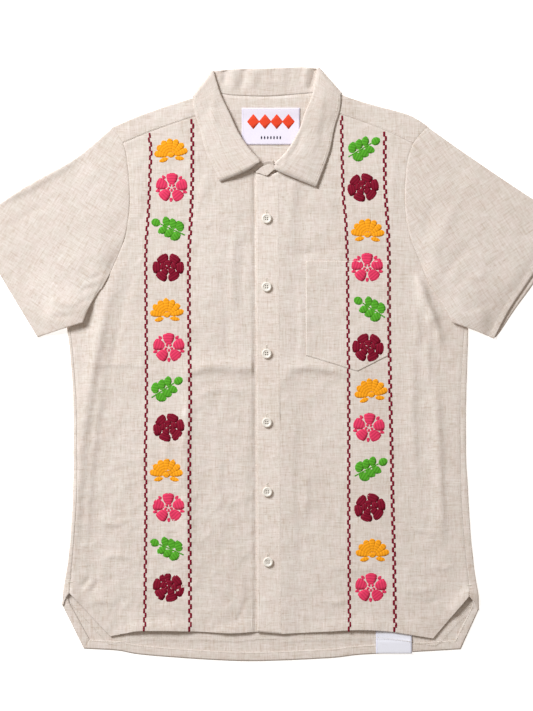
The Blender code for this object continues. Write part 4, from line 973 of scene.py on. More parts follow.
SLEEVE_RIPPLES, SLEEVE_CALM, SLEEVE_SEAM_DEEP = (0.14, 40.0, 8), 12.0, 0.3
# The climb onto the body: its distances from the body's edge at the sleeve's edges, and the soft ones between
CLIMB_FROM, CLIMB_FULL, SOFT_CLIMB = 32.0, 12.0, (92.0, 4.0)
SOFT_FROM_ARM, SOFT_FROM_CUFF, SOFT_CUFF_EASE = 55.0, 4.0, 50.0
OVER_BODY, UNDERARM_LIFT, UNDERARM_LIFT_REACH = 1.0, {"right": 5.6, "left": 2.2}, (26.0, 60.0)
ARM_PRESSED, CUFF_PRESSED, LOWER_PRESSED, PRESSED_WIDE = {"right": 1.2, "left": 0.5}, 1.5, 0.35, 22.0
ARM_PRESSED_BELOW, ARM_PRESSED_EASE = 170.0, 60.0
SLEEVE_OVER_CELLS, SLEEVE_CELLS, BODY_EDGE_CELLS = 22, 66, 24
GRAIN = {"right": 32.0, "left": -34.0}
SLEEVE_CREASES = {
    "right": [
        ([(-204, 114), (-218, 112), (-236, 106)], 3.5, -0.8, 0.2),
        ([(-212, 102), (-228, 98), (-244, 90)], 3.5, -0.7, 0.2),
        ([(-222, 84), (-236, 80), (-250, 70)], 4.0, -0.9, 0.2),
        ([(-214, 112), (-236, 120), (-262, 140)], 7.0, 0.8, 0.2),
        ([(-222, 94), (-248, 98), (-276, 112)], 6.0, -0.7, 0.2),
        ([(-232, 76), (-258, 76), (-284, 84)], 6.0, 1.0, 0.0),
        ([(-240, 64), (-262, 60), (-282, 60)], 4.5, -0.8, 0.2),
        ([(-362, 200), (-306, 225), (-262, 252), (-232, 274)], 8.0, 1.9, 0.3),
        ([(-262, 216), (-300, 196), (-344, 168)], 7.0, -0.6, 0.0),
        ([(-200, 268), (-226, 240), (-250, 216)], 10.0, 0.6, 0.1),
        ([(-190, 200), (-224, 190), (-262, 170)], 12.0, 0.5, 0.2),
        ([(-300, 150), (-312, 120), (-300, 90)], 12.0, -0.5, 0.0),
    ],
    "left": [
        ([(204, 112), (216, 150), (230, 186), (250, 220)], 10.0, 0.9, 0.2),
        ([(200, 150), (204, 184), (218, 216)], 9.0, -0.9, -0.2),
        ([(218, 104), (240, 132), (264, 156)], 8.0, -0.9, 0.2),
        ([(232, 86), (262, 108), (290, 124)], 8.0, 0.8, 0.0),
        ([(243, 66), (266, 72), (292, 78)], 5.0, -0.7, 0.2),
        ([(240, 244), (286, 214), (340, 180)], 10.0, 0.7, 0.2),
        ([(206, 270), (230, 250), (262, 226)], 9.0, -0.5, 0.0),
        ([(312, 140), (318, 116), (306, 90)], 12.0, 0.6, 0.0),
    ],
}


def sleeve_ring(side):
    """Rings round the sleeve from armhole to cuff: upper layer, fold below the arm, lower layer, fold along
    the shoulder. The lower layer climbs onto the body near its edge, and the upper one lies a fold above it,
    puffed by half a wave both ways and pressed down along the armhole and the cuff."""
    arm = armhole_line(side)
    around = len(arm) - 1
    top = divide(SLEEVE_TOP[side], SLEEVE_CELLS)
    under = chain(divide(SLEEVE_OVER_BODY[side], SLEEVE_OVER_CELLS),
                  divide(SLEEVE_UNDER[side], SLEEVE_CELLS - SLEEVE_OVER_CELLS))
    cuff = divide(CUFF[side], around)
    middle = ((arm[0] + arm[-1]) / 2 + (cuff[0] + cuff[-1]) / 2) / 2
    top_in = top - outward_of(top, middle) * FOLD / 2
    under_in = under - outward_of(under, middle) * FOLD / 2
    top_in[0], under_in[0] = arm[0], arm[-1]
    cuff[0], cuff[-1] = top_in[-1], under_in[-1]
    plan = closer(panel(arm, cuff, top_in, under_in), "bottom")
    share = np.linspace(0, 1, SLEEVE_CELLS + 1)
    share = np.concatenate([[0], share[1] * (1 - np.array(CLOSER_PARTS[::-1])), share[1:]])[:, None]
    across = np.sin(np.linspace(0, math.pi, around + 1))
    past = (share**CUFF_SLIDE_POWER * CUFF_SHOWS[side] * np.sqrt(across))[..., None]
    below = plan + past * unit(plan[-1, around // 2] - plan[-2, around // 2])
    outline = side_lines(side)[0]
    body_edge = np.vstack([smooth(UNDERARM[side] + [tuple(outline[-1])]), outline[-BODY_EDGE_CELLS]])
    body_edge = body_edge if side == "right" else body_edge[::-1]

    def under_height(points, climb_from=CLIMB_FROM, climb_full=CLIMB_FULL):
        """The lower layer: on the floor, climbing onto the body near its edge, lifted by a bell below the arm."""
        x, y = points[..., 0], points[..., 1]
        away, _, hand = along_line(x, y, body_edge)
        climb = ease((climb_from - away * hand) / (climb_from - climb_full))
        corner, start = np.array(SLEEVE_UNDER[side][0]), np.array(SLEEVE_OVER_BODY[side][0])
        c, d = unit(start - corner)
        to_start, aside = (x - corner[0]) * c + (y - corner[1]) * d, (y - corner[1]) * c - (x - corner[0]) * d
        near, wide = UNDERARM_LIFT_REACH
        lift = UNDERARM_LIFT[side] * np.exp(-((to_start / near) ** 4) - (aside / wide) ** 2)
        return BACK_HEIGHT + (front_height(x, y) + OVER_BODY - BACK_HEIGHT) * climb + lift

    along = np.sin((SLEEVE_PUFF_FROM + (SLEEVE_PUFF_TO - SLEEVE_PUFF_FROM) * share) * math.pi)
    along[0] = 0
    x, y = plan[..., 0], plan[..., 1]
    from_arm, from_cuff = from_edge(plan, "bottom"), from_edge(plan, "top")
    high, size, seed = SLEEVE_RIPPLES
    rise = creases(x, y, SLEEVE_CREASES[side]) + high * ripples(x, y, size, seed)
    rise = rise * ease(from_arm / SLEEVE_CALM)
    hem = CUFF_OVER * (1 - ease((from_cuff - CUFF_HEM) / CUFF_HEM_EASE))
    hem = hem + seam_dip(from_cuff - CUFF_GROOVE_AT, *CUFF_GROOVE)
    base = under_height(plan)
    soft = ease(from_arm / SOFT_FROM_ARM) * ease((from_cuff - SOFT_FROM_CUFF) / SOFT_CUFF_EASE)
    base = base + (under_height(plan, *SOFT_CLIMB) - base) * soft
    at_arm, at_cuff = (1 - ease(away / PRESSED_WIDE) for away in (from_arm, from_cuff))
    at_arm = at_arm * ease((ARM_PRESSED_BELOW - y) / ARM_PRESSED_EASE)
    pressed = ARM_PRESSED[side] * at_arm + CUFF_PRESSED * at_cuff * across
    upper = base + FOLD + SLEEVE_PUFF * along * across + rise + hem - pressed + seam_dip(from_arm, SLEEVE_SEAM_DEEP)
    upper, lower = raised(plan, upper), raised(below, under_height(below) - LOWER_PRESSED * at_arm)
    under_fold = half_turn(upper[:, -1], lower[:, -1], outward_of(under_in, middle)[rows_of(share)])
    top_fold = half_turn(lower[:, 0], upper[:, 0], outward_of(top_in, middle)[rows_of(share)])
    ring = np.concatenate([np.swapaxes(upper, 0, 1), under_fold[1:], np.swapaxes(lower, 0, 1)[::-1][1:],
                           top_fold[1:]])
    return np.swapaxes(ring, 0, 1), upper


def rows_of(share):
    """The row of the even division that each row with this share of the length is nearest to."""
    return np.rint(share[:, 0] * SLEEVE_CELLS).astype(int)


for side in SIDES:
    ring, upper = sleeve_ring(side)
    sleeve = cloth(f"linen_{side}_sleeve", [ring], linen(f"linen_of_{side}_sleeve", GRAIN[side], (0.2, 0.3)))
    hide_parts(f"{side}_sleeve")
    near = np.argmin(np.abs(from_edge(upper, "top") - CUFF_HEM), axis=0)
    seam = upper[near, np.arange(upper.shape[1])]
    _, known_y, known_z = seam[np.argsort(seam[:, 1])].T
    sewn(f"{side}_cuff_stitching", [stitches(seam[:, :2])],
         on_top(lambda x, y: np.interp(y, known_y, known_z), LINEN_WALL, sink=0.05), linen_thread)

# The collar
# One folded strip with a stand, turned over along its roll: behind the neck the stand shows and the leaf lies
# under the yoke, in front the two leaves lie on the fronts. It is interlined, so it is stiffer than the rest.

COLLAR_WALL = 1.0
COLLAR_FLOOR = 0.5
# Each front's run from the middle up, the back's from right to left. In plan the turn of the roll and the outer
# edge, then the heights of the stand and of the leaf at the turn and of the leaf's edge
COLLAR = {
    "right": [
        ((-9.6, 259.5), (-61.4, 233.0), 4.4, 9.8, 5.6),
        ((-27.5, 280.0), (-79.0, 269.5), 3.9, 8.2, 5.2),
        ((-39.7, 299.5), (-86.5, 297.0), 4.0, 7.2, 4.8),
        ((-50.0, 322.0), (-92.3, 316.0), 4.3, 7.2, 4.8),
        ((-61.4, 346.5), (-95.5, 331.0), 4.5, 7.2, 5.9),
        ((-70.2, 375.0), (-94.7, 341.0), 4.7, 6.9, 6.4),
    ],
    "back": [
        ((-70.2, 375.0), (-94.8, 340.8), 2.8, 0.9, COLLAR_FLOOR),
        ((-41.0, 377.6), (-58.0, 331.0), 3.6, 1.1, COLLAR_FLOOR),
        ((0.0, 378.3), (0.0, 330.0), 4.2, 1.3, COLLAR_FLOOR),
        ((42.0, 379.8), (58.0, 332.0), 3.6, 1.1, COLLAR_FLOOR),
        ((63.0, 378.4), (92.6, 343.8), 2.8, 0.9, COLLAR_FLOOR),
    ],
    "left": [
        ((8.4, 256.2), (62.3, 226.2), 5.4, 10.2, 5.8),
        ((24.5, 272.8), (78.5, 270.0), 4.7, 9.0, 4.9),
        ((40.2, 299.5), (85.5, 303.0), 4.2, 7.6, 4.6),
        ((47.6, 321.7), (91.0, 320.5), 4.3, 7.4, 5.0),
        ((57.6, 346.0), (93.2, 334.0), 4.5, 7.2, 5.8),
        ((63.0, 378.4), (92.9, 344.2), 4.7, 6.9, 6.4),
    ],
}
COLLAR_TURNS = {"stand": (0.34, 0.94), "roll_in": (0.94, 0.34), "roll_out": (0.94, 0.34), "edge": (0.8, 0.6)}
LEAF_FRONT = {"right": [(-9.6, 259.5), (-17.0, 253.0), (-31.6, 244.5), (-61.4, 233.0)],
              "left": [(8.4, 256.2), (9.6, 248.8), (29.2, 239.4), (62.3, 226.2)]}
# The stand's two ends cross at the throat: upper edge of each, and the left one's lower edge on the band
STAND_END = {"right": [(7.4, 260.4, 4.4), (-1.5, 259.8, 5.0)],
             "left": [(-15.2, 246.2, 5.0), (-12.0, 249.2, 5.4), (-6.6, 253.0, 5.8), (0.4, 255.6, 6.0)]}
LIP = [(-15.0, 244.4), (-10.9, 243.9), (-5.6, 241.8), (-0.8, 240.9), (3.0, 244.2), (8.6, 248.6), (13.2, 246.0)]
LIP_HEIGHT = (5.3, 5.3, 5.6, 6.4, 6.6, 6.2, 4.2)
LEAF_CROWN, LEAF_CROWN_POWER = 1.1, 0.8
NECK_CORNER_GAP = 0.45
STAND_END_LONG, STAND_END_POWER = 26.0, {"right": 3, "left": 1}
STAND_CELLS, ROLL_CELLS, LEAF_CELLS = 16, 8, 24
COLLAR_NECK_CELLS, COLLAR_SHOULDER_CELLS = {"right": 30, "left": 42}, 12
STAND_END_CELLS = 14
LEAF_STITCHES_IN = 4.0
COLLAR_RIPPLES, COLLAR_CRUMPLE, COLLAR_CALM = (0.12, 24.0, 21), (0.2, 26.0, 22), 8.0
COLLAR_CREASES = [
    ([(-58, 382), (-55, 370), (-56, 354)], 3.5, -2.0, 0.0),
    ([(-46, 382), (-44, 364), (-45, 348)], 5.0, 1.4, 0.2),
    ([(-30, 384), (-31, 366), (-37, 346)], 4.0, -1.9, 0.0),
    ([(-20, 382), (-18, 366), (-20, 350)], 6.0, 1.3, 0.0),
    ([(-10, 360), (14, 362), (34, 359)], 4.0, 0.7, 0.3),
    ([(8, 384), (6, 372), (8, 358)], 4.0, -0.9, 0.0),
    ([(61, 384), (59, 368), (53, 348)], 4.0, -2.6, 0.0),
    ([(50, 384), (48, 366), (46, 350)], 5.0, 1.5, 0.0),
    ([(28, 384), (29, 368), (26, 352)], 5.0, -0.8, 0.0),
    ([(-66, 352), (-70, 318), (-64, 290)], 7.0, 0.7, 0.2),
    ([(-84, 330), (-70, 326), (-56, 330)], 5.0, -0.6, 0.0),
    ([(-78, 322), (-66, 300), (-48, 286)], 7.0, 0.6, 0.0),
    ([(70, 352), (68, 320), (58, 292)], 8.0, 0.8, -0.2),
    ([(78, 322), (70, 292), (72, 262)], 8.0, -0.5, 0.0),
    ([(48, 306), (36, 276), (20, 256)], 5.5, -1.2, 0.2),
    ([(26, 276), (20, 265), (11, 251), (4, 243)], 1.8, -0.7, 0.0),
]


def collar_run(part, cells):
    """Smooth curves through the table's sections: turn and edge in plan, then the three heights."""
    line = smooth([[*roll, *edge, stand, leaf, low] for roll, edge, stand, leaf, low in COLLAR[part]])
    along = np.linspace(0, len(line) - 1, cells + 1)
    return np.stack([np.interp(along, np.arange(len(line)), line[:, k]) for k in range(7)], axis=1)


def side_turn(start, stop, bulge, kept):
    """The line's way round a side fold of the collar; the sewn line keeps to the corners of the yoke."""
    turned = half_turn(start, stop, unit(np.array([bulge])), ROLL_CELLS)[:, 0]
    return evenly(turned, ROLL_CELLS)[1:-1] if kept else turned[1:-1]


def collar_lines():
    """Four lines round the neck: where the stand is sewn on, the two sides of the roll, the outer edge."""
    down = {side: chain(divide(YOKE_NECK[side], COLLAR_SHOULDER_CELLS),
                        divide(FRONT_NECK[side], COLLAR_NECK_CELLS[side])) for side in SIDES}
    necks = {"right": down["right"][::-1], "back": divide(BACK_NECK, BACK_NECK_CELLS), "left": down["left"]}
    parts = {}
    for part, neck in necks.items():
        run = collar_run(part, len(neck) - 1)
        run = run[::-1] if part == "left" else run
        roll = run[:, :2] - unit(run[:, :2] - neck) * np.abs(run[:, 5:6] - run[:, 4:5]) / 2
        parts[part] = {
            "stand": shaped(neck, back_height if part == "back" else front_height),
            "roll_in": raised(roll, run[:, 4]),
            "roll_out": raised(roll, run[:, 5]),
            "edge": raised(run[:, 2:4], run[:, 6]),
        }
    lines = {}
    for name, (across, up) in COLLAR_TURNS.items():
        right, behind, left = (parts[part][name] for part in ("right", "back", "left"))
        first = side_turn(right[-1:], behind[:1], (-across, up), name == "stand")
        second = side_turn(behind[-1:], left[:1], (across, up), name == "stand")
        lines[name] = np.vstack([right, first, behind, second, left])
    return lines


def collar_sheets():
    """The stand from the neck line to the roll, the half circle of the roll, the leaf with a low crown from
    the roll to its edge, and past each leaf the end of the stand that crosses at the throat."""
    stand, roll_in, roll_out, edge = collar_lines().values()
    up_stand = np.linspace(0, 1, STAND_CELLS + 1)[:, None, None]
    over = half_turn(roll_in, roll_out, unit((roll_in - stand)[:, :2]), ROLL_CELLS)
    right, left = (COLLAR_NECK_CELLS[side] + COLLAR_SHOULDER_CELLS + 1 for side in SIDES)
    crown = np.zeros(len(stand))
    crown[:right] = crown[-left:] = LEAF_CROWN
    down_leaf = np.linspace(0, 1, LEAF_CELLS + 1)[:, None, None]
    leaf = roll_out + (edge - roll_out) * down_leaf
    leaf[..., 2] += crown * np.sin(math.pi * down_leaf[..., 0]) ** LEAF_CROWN_POWER
    for side, column in (("right", 0), ("left", -1)):
        leaf[:, column, :2] = divide(LEAF_FRONT[side], LEAF_CELLS)
    points = np.concatenate([stand + (roll_in - stand) * up_stand, over[1:], leaf[1:]])
    corner = np.zeros((len(stand), 1))
    corner[right - 1 : right + ROLL_CELLS] = NECK_CORNER_GAP
    corner[-left - ROLL_CELLS : -left + 1] = NECK_CORNER_GAP
    points[0] += unit(points[1] - points[0]) * corner
    x, y = points[..., 0], points[..., 1]
    on_show = np.zeros(points.shape[:2])
    on_show[: STAND_CELLS + 1, right + ROLL_CELLS : -left - ROLL_CELLS + 1] = 1
    on_show[STAND_CELLS:, :right] = on_show[STAND_CELLS:, -left:] = 1
    free = ease(from_edge(points, "bottom") / COLLAR_CALM)
    rise = creases(x, y, COLLAR_CREASES)
    for form, (high, size, seed) in ((ripples, COLLAR_RIPPLES), (crumple, COLLAR_CRUMPLE)):
        rise = rise + high * form(x, y, size, seed)
    points[..., 2] += on_show * free * rise
    sheets = [points]
    feet = {"right": raised(divide(UNDERLAP_NECK, STAND_END_CELLS)[:0:-1], UNDERLAP_HEIGHT),
            "left": divide(np.column_stack([LIP, LIP_HEIGHT]), STAND_END_CELLS)[:-1]}
    for side, column in (("right", 0), ("left", -1)):
        heads = evenly(np.array(STAND_END[side] + [tuple(points[STAND_CELLS, column])]), STAND_END_CELLS)[:-1]
        foot = feet[side]
        ends = foot + (heads - foot) * up_stand
        ends[..., 2] = foot[:, 2] + (heads - foot)[:, 2] * up_stand[..., 0] ** STAND_END_POWER[side]
        sheets.append(np.concatenate([ends, points[: STAND_CELLS + 1, [column]]], axis=1))
    return sheets


def collar_lays(sheets):
    """Places on the flat strip: along it by the length of its roll, across it by the middle column's length.
    The ends of the stand run on before and after it."""
    points = sheets[0]
    along, across = lengths(points[STAND_CELLS]), lengths(points[:, points.shape[1] // 2])
    lays = [np.stack(np.meshgrid(along, across), axis=-1)]
    for start, way in ((0.0, 1), (along[-1], -1)):
        run = start + way * np.linspace(-STAND_END_LONG, 0, STAND_END_CELLS + 1)
        lays.append(np.stack(np.meshgrid(run, across[: STAND_CELLS + 1]), axis=-1))
    return lays


collar_parts = collar_sheets()
collar = cloth("linen_collar", collar_parts, linen("linen_of_collar", 0.0, (0.63, 0.52), mapped=True), COLLAR_WALL,
               collar_lays(collar_parts))
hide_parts("collar")


def leaf_line(side):
    """The line of stitches inside the leaf's free edges, taken off the leaf's own grid, with its heights."""
    leaf = collar_parts[0][STAND_CELLS + ROLL_CELLS :]
    leaf = leaf if side == "right" else leaf[:, ::-1]
    own = leaf[:, : COLLAR_NECK_CELLS[side] + COLLAR_SHOULDER_CELLS + 1]
    outer = own[-1] - unit(own[-1] - own[-2]) * LEAF_STITCHES_IN
    front = own[:, 0] + unit(own[:, 1] - own[:, 0]) * LEAF_STITCHES_IN
    return chain(front[: np.argmin(np.linalg.norm(front - outer[1], axis=1)) + 1], outer[1:])


for side in SIDES:
    line = leaf_line(side)
    middles, way = laid(line, int(lengths(line)[-1] / STITCH_PITCH))
    plan, up, lay = pads(middles, way, *STITCH)
    sewn(f"{side}_collar_stitching", [(plan, up + middles[:, 2, None, None], lay)],
         on_top(lambda x, y: 0 * x, COLLAR_WALL, sink=0.05), linen_thread)

# The chest pocket
# A patch pocket of the same linen on the left front: a turned hem along its open top, its other edges turned
# under and stitched close to the edge, with a pointed bottom.

POCKET_LEFT, POCKET_RIGHT, POCKET_TOP, POCKET_CORNER, POCKET_POINT = 48.5, 155.0, 132.0, 11.0, -9.5
POCKET_POINT_AT = 114.53
POCKET_COLUMNS, POCKET_ROWS, POCKET_WALL, POCKET_UP = 56, 72, 0.36, 0.64
POCKET_TURNED, POCKET_TURNED_IN, POCKET_TURNED_EASE = 0.12, 6.0, 2.0
POCKET_HEM, POCKET_HEM_OVER, POCKET_GROOVE = 27.0, 0.06, (0.1, 1.2)
POCKET_MOUTH, POCKET_MOUTH_DEEP = 0.4, 45.0
POCKET_STITCHES_IN = (1.6, 0.8, 1.2, 1.7)  # from the sides, the top, the corners and the point


def pocket_form(x, y):
    """Height of the pocket: the front's, one layer up, fuller at the turned edges and the hem, and its mouth
    standing a little open in the middle."""
    edge = np.minimum(np.minimum(x - POCKET_LEFT, POCKET_RIGHT - x), POCKET_TOP - y)
    turned = POCKET_TURNED * (1 - ease((edge - POCKET_TURNED_IN) / POCKET_TURNED_EASE))
    hem = POCKET_HEM_OVER * (y > POCKET_TOP - POCKET_HEM)
    across = np.clip((x - POCKET_LEFT) / (POCKET_RIGHT - POCKET_LEFT), 0, 1)
    mouth = POCKET_MOUTH * np.sin(math.pi * across) * ease((y - POCKET_TOP + POCKET_MOUTH_DEEP) / POCKET_MOUTH_DEEP)
    groove = seam_dip(y - POCKET_TOP + POCKET_HEM, *POCKET_GROOVE)
    return front_height(x, y) + POCKET_UP + turned + hem + mouth + groove


def pocket_low(x):
    """The pocket's pointed bottom: two straight edges meeting at the point."""
    return np.interp(x, (POCKET_LEFT, POCKET_POINT_AT, POCKET_RIGHT), (POCKET_CORNER, POCKET_POINT, POCKET_CORNER))


x = np.linspace(POCKET_LEFT, POCKET_RIGHT, POCKET_COLUMNS + 1)
low = pocket_low(x)
up = np.linspace(0, 1, POCKET_ROWS + 1)[:, None]
plan = np.stack(np.broadcast_arrays(x[None], low + (POCKET_TOP - low) * up), axis=-1)
pocket = cloth("linen_chest_pocket", [shaped(plan, pocket_form)], linen("linen_of_pocket", 0.0, (0.09, 0.61)),
               POCKET_WALL)
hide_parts("chest_pocket")
aside, below, at_corner, at_point = POCKET_STITCHES_IN
edge = [(POCKET_LEFT + aside, POCKET_TOP - below), (POCKET_LEFT + aside, POCKET_CORNER + at_corner),
        (POCKET_POINT_AT, POCKET_POINT + at_point),
        (POCKET_RIGHT - aside, POCKET_CORNER + at_corner), (POCKET_RIGHT - aside, POCKET_TOP - below)]
hem = [(POCKET_LEFT + 2, POCKET_TOP - POCKET_HEM), (POCKET_RIGHT - 2, POCKET_TOP - POCKET_HEM)]
sewn("pocket_stitching", [stitches(line, width=0.45, height=0.22) for line in [*zip(edge, edge[1:]), hem]],
     on_top(pocket_form, POCKET_WALL), linen_thread)

# The label inside the neck
# A woven label of pale satin, its ends turned under, sewn to the yoke all round near its edges.

LABEL_SIZE, LABEL_MIDDLE = (74.6, 47.2), (3.7, 304.3)
LABEL_WALL, LABEL_UP, LABEL_BOW, LABEL_RIPPLES = 0.5, 0.85, 0.35, (0.08, 30.0, 2)
LABEL_COLOUR, LABEL_THREAD = (0.862, 0.800, 0.905), (0.80, 0.74, 0.84)
RUST, SLATE = (0.80, 0.065, 0.022), (0.035, 0.03, 0.06)
LABEL_CELLS = (40, 26)
SATIN_WAVES, SATIN_SHADES, SATIN_RELIEF = (2600.0, 520.0, 2600.0), (0.90, 1.05), (0.2, 0.0002)
SATIN_SELVAGE, SATIN_SELVAGE_SHADE = (2.6, 1.8), (0.86, 0.86, 0.90)


def label_form(x, y):
    """Height of the label: one layer above the yoke, with a low bow across it."""
    bow = LABEL_BOW * np.cos(math.pi * np.clip((x - LABEL_MIDDLE[0]) / LABEL_SIZE[0], -0.5, 0.5))
    high, size, seed = LABEL_RIPPLES
    return back_height(x, y) + LABEL_UP + bow + high * ripples(x, y, size, seed)


def satin(name, colour, middle, wide):
    """Woven satin: fine waves both ways and a soft sheen, its colour a little darker along its sides."""
    made, tree, shader = new_material(name)
    where, colour = add(tree, "TexCoord")["Object"], np.array(colour)
    noise = streaks(tree, where, SATIN_WAVES, 2.0)
    tone = ramp(tree, noise, *(np.minimum(colour * shade, 1) for shade in SATIN_SHADES))
    across = add(tree, "SeparateXYZ", {0: where})["X"]
    aside = add(tree, "Math", {0: across, 1: middle * MM}, operation="SUBTRACT")[0]
    aside = add(tree, "Math", {0: aside}, operation="ABSOLUTE")[0]
    selvage = between(tree, aside, *((wide / 2 - inside) * MM for inside in SATIN_SELVAGE))
    fill(tree, shader, {"Base Color": mix(tree, tone, (*(colour * SATIN_SELVAGE_SHADE), 1), selvage),
                        "Normal": bump(tree, noise, *SATIN_RELIEF), "Roughness": 0.55, "Sheen Weight": 0.2})
    return made


middle, half = np.array(LABEL_MIDDLE), np.array(LABEL_SIZE) / 2
plan = np.stack(np.meshgrid(*(m + np.linspace(-h, h, cells + 1) for m, h, cells in zip(middle, half, LABEL_CELLS))),
                axis=-1)
label = cloth("woven_neck_label", [shaped(plan, label_form)],
              satin("label_satin", LABEL_COLOUR, LABEL_MIDDLE[0], LABEL_SIZE[0]), LABEL_WALL)
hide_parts("neck_label")
# Its stitches run up both sides, 1.3 mm in, and along its top and bottom, 1.6 mm in
lines = [middle + (half - inside) * ends for way in (-1, 1)
         for inside, ends in (((1.3, 1), [(way, -1), (way, 1)]), ((2, 1.6), [(-1, way), (1, way)]))]
sewn("label_stitching", [stitches(line, pitch=2.4, length=1.9, width=0.45, height=0.3) for line in lines],
     on_top(label_form, LABEL_WALL, sink=0.05), thread("label_thread", LABEL_THREAD, SEWING_THREAD, 0.8))


def label_row(name, count, reach, up, colour, yarn, **pad):
    """A row of equal flat shapes woven into the label, this far up it and this far to both sides."""
    spots = middle + np.stack([np.linspace(-reach, reach, count), np.full(count, up)], axis=1)
    sewn(name, [pads(spots, **pad)], on_top(label_form, LABEL_WALL, sink=-0.02),
         thread(yarn, colour, SEWING_THREAD, 0.85))


# Woven into it: a row of lozenges and a short row of dots
label_row("label_lozenges", 4, reach=22.5, up=6.0, colour=RUST, yarn="rust_yarn", way=0.0, length=16.5, width=21.0,
          height=0.14, square=1.0, rings=9, sides=8)
label_row("label_dots", 7, reach=12.0, up=-14.5, colour=SLATE, yarn="slate_yarn", way=math.pi / 2, length=4.4,
          width=2.4, height=0.12)

# The folded tab at the hem
# A short loop of plain pale ribbon, caught under the left front's hem.

TAB_TOP, TAB_BOTTOM = -337.0, -370.6
TAB_DROP_FROM, TAB_DROP_TO = -350.0, -357.0
TAB_LOW, TAB_HIGH = 1.75, 2.75
TAB_CELLS, TAB_FOLD, TAB_WALL, TAB_COLOUR = 24, (0.25, 1.2), 0.8, (0.85, 0.845, 0.915)

across, upward = (np.linspace(*ends, TAB_CELLS + 1) for ends in ((TAB_LEFT, TAB_RIGHT), (TAB_BOTTOM, TAB_TOP)))
plan = np.stack(np.meshgrid(across, upward), axis=-1)
drop = ease((TAB_DROP_FROM - plan[..., 1]) / (TAB_DROP_FROM - TAB_DROP_TO))
height = TAB_LOW + (TAB_HIGH - TAB_LOW) * drop + seam_dip(plan[..., 1] - TAB_BOTTOM, *TAB_FOLD)
tab = cloth("ribbon_hem_tab", [raised(plan, height)],
            satin("tab_ribbon", TAB_COLOUR, (TAB_LEFT + TAB_RIGHT) / 2, TAB_RIGHT - TAB_LEFT), TAB_WALL)
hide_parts("hem_tab")

# The buttons and their buttonholes
# Six four-hole buttons of pale moulded plastic, sewn through with thread. Each one's buttonhole is a slit along the
# band, worked over with close stitches and barred at both ends; the slit's opening is a thin dark pad of painted
# shade.

BUTTONS = [(-1.7, 186.1), (-1.7, 98.7), (-1.7, 13.3), (-1.4, -74.8), (-0.8, -163.6), (0.1, -253.3)]
BUTTON_SEAT = 4.9
BUTTON_PROFILE = [(0.0, 2.05), (1.2, 2.05), (2.4, 2.08), (3.4, 2.15), (3.9, 2.45), (4.4, 2.75), (5.0, 2.84),
                  (5.6, 2.74), (6.1, 2.3), (6.35, 1.75), (6.2, 1.1), (5.6, 0.45), (4.9, 0.05), (3.5, 0.0), (0.0, 0.0)]
HOLE_OUT, HOLE_DEEP, HOLE_FLOOR, HOLE_EASE = 1.80, 1.8, 0.48, 0.4
BUTTON_SECTORS, BUTTON_STEPS, FACE_SHARE = 72, 7, 0.6
THREAD_UP, THREAD_ASIDE = 2.0, 1.27
# The plastic's clouded tones, and the painted shade down its holes
PLASTIC, PAINTED_HOLE_SHADE = ((0.76, 0.70, 0.61), (0.90, 0.85, 0.78)), (0.10, 0.075, 0.055)
# The buttonhole: how far it runs up and down from the button's middle, how close its stitches are and how far
# aside, how far its bars are past its lower and its upper end, and how much shorter its slit is
BUTTONHOLE_UP, BUTTONHOLE_DOWN, BUTTONHOLE_PITCH, BUTTONHOLE_ASIDE = 10.5, 5.5, 0.62, 1.0
BARS_PAST, SLIT_SHORTER = (0.5, 0.4), 0.6
# The two dark colours of the painted shade in the slits
SLIT_SHADE_COLOURS = (0.16, 0.12, 0.09), (0.30, 0.24, 0.19)


def button_grid(middle):
    """A turned disc: the smooth profile carried round the axis, with a soft well pressed in at each hole."""
    profile = smooth(BUTTON_PROFILE, BUTTON_STEPS)
    turn = np.linspace(0, 2 * math.pi, BUTTON_SECTORS + 1)
    radius, rise = np.maximum(profile[:, 0], 0)[:, None], profile[:, 1][:, None] + 0 * turn
    x, y = radius * np.cos(turn), radius * np.sin(turn)
    holes = [HOLE_OUT * np.array([math.cos(a), math.sin(a)]) for a in math.pi / 4 + np.arange(4) * math.pi / 2]
    away = np.min([np.hypot(x - hx, y - hy) for hx, hy in holes], axis=0)
    on_face = (np.arange(len(profile)) < len(profile) * FACE_SHARE)[:, None]
    well = on_face * (1 - ease((away - HOLE_FLOOR) / HOLE_EASE))
    return np.stack([x + middle[0], y + middle[1], rise - HOLE_DEEP * well + BUTTON_SEAT], axis=-1), well


def make_button_plastic():
    """Moulded plastic: pale cream with faint clouds, half glossy, with painted shade down its holes."""
    made, tree, shader = new_material("button_plastic")
    clouds = add(tree, "TexNoise", {"Vector": add(tree, "TexCoord")["Object"], "Scale": 260.0, "Detail": 3.0})["Fac"]
    # The depth of each hole's well masks the painted shade
    well = add(tree, "Attribute", attribute_name="well")["Fac"]
    fill(tree, shader, {"Base Color": mix(tree, ramp(tree, clouds, *PLASTIC), (*PAINTED_HOLE_SHADE, 1), well),
                        "Roughness": between(tree, clouds, 0.0, 1.0, 0.32, 0.46)})
    return made


button_plastic = make_button_plastic()
for number, middle in enumerate(BUTTONS, 1):
    grid, well = button_grid(middle)
    button = mesh_piece(f"turned_button_{number}", grid.reshape(-1, 3), grid_faces(*well.shape).tolist(),
                        button_plastic, wells=well)
    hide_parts(f"button_{number}")
spots, upright = np.array(BUTTONS), math.pi / 2
bars = [pads(spots + (way * THREAD_ASIDE, 0), upright, length=2.3, width=0.55, height=0.35) for way in (-1, 1)]
sewn("button_thread", bars, lambda x, y: BUTTON_SEAT + THREAD_UP + 0 * x, linen_thread)
shanks = pads(spots, 0.0, length=3.6, width=3.2, height=0.9)
sewn("button_shanks", [shanks], on_top(placket_form, PLACKET_WALL, sink=0.2), linen_thread)

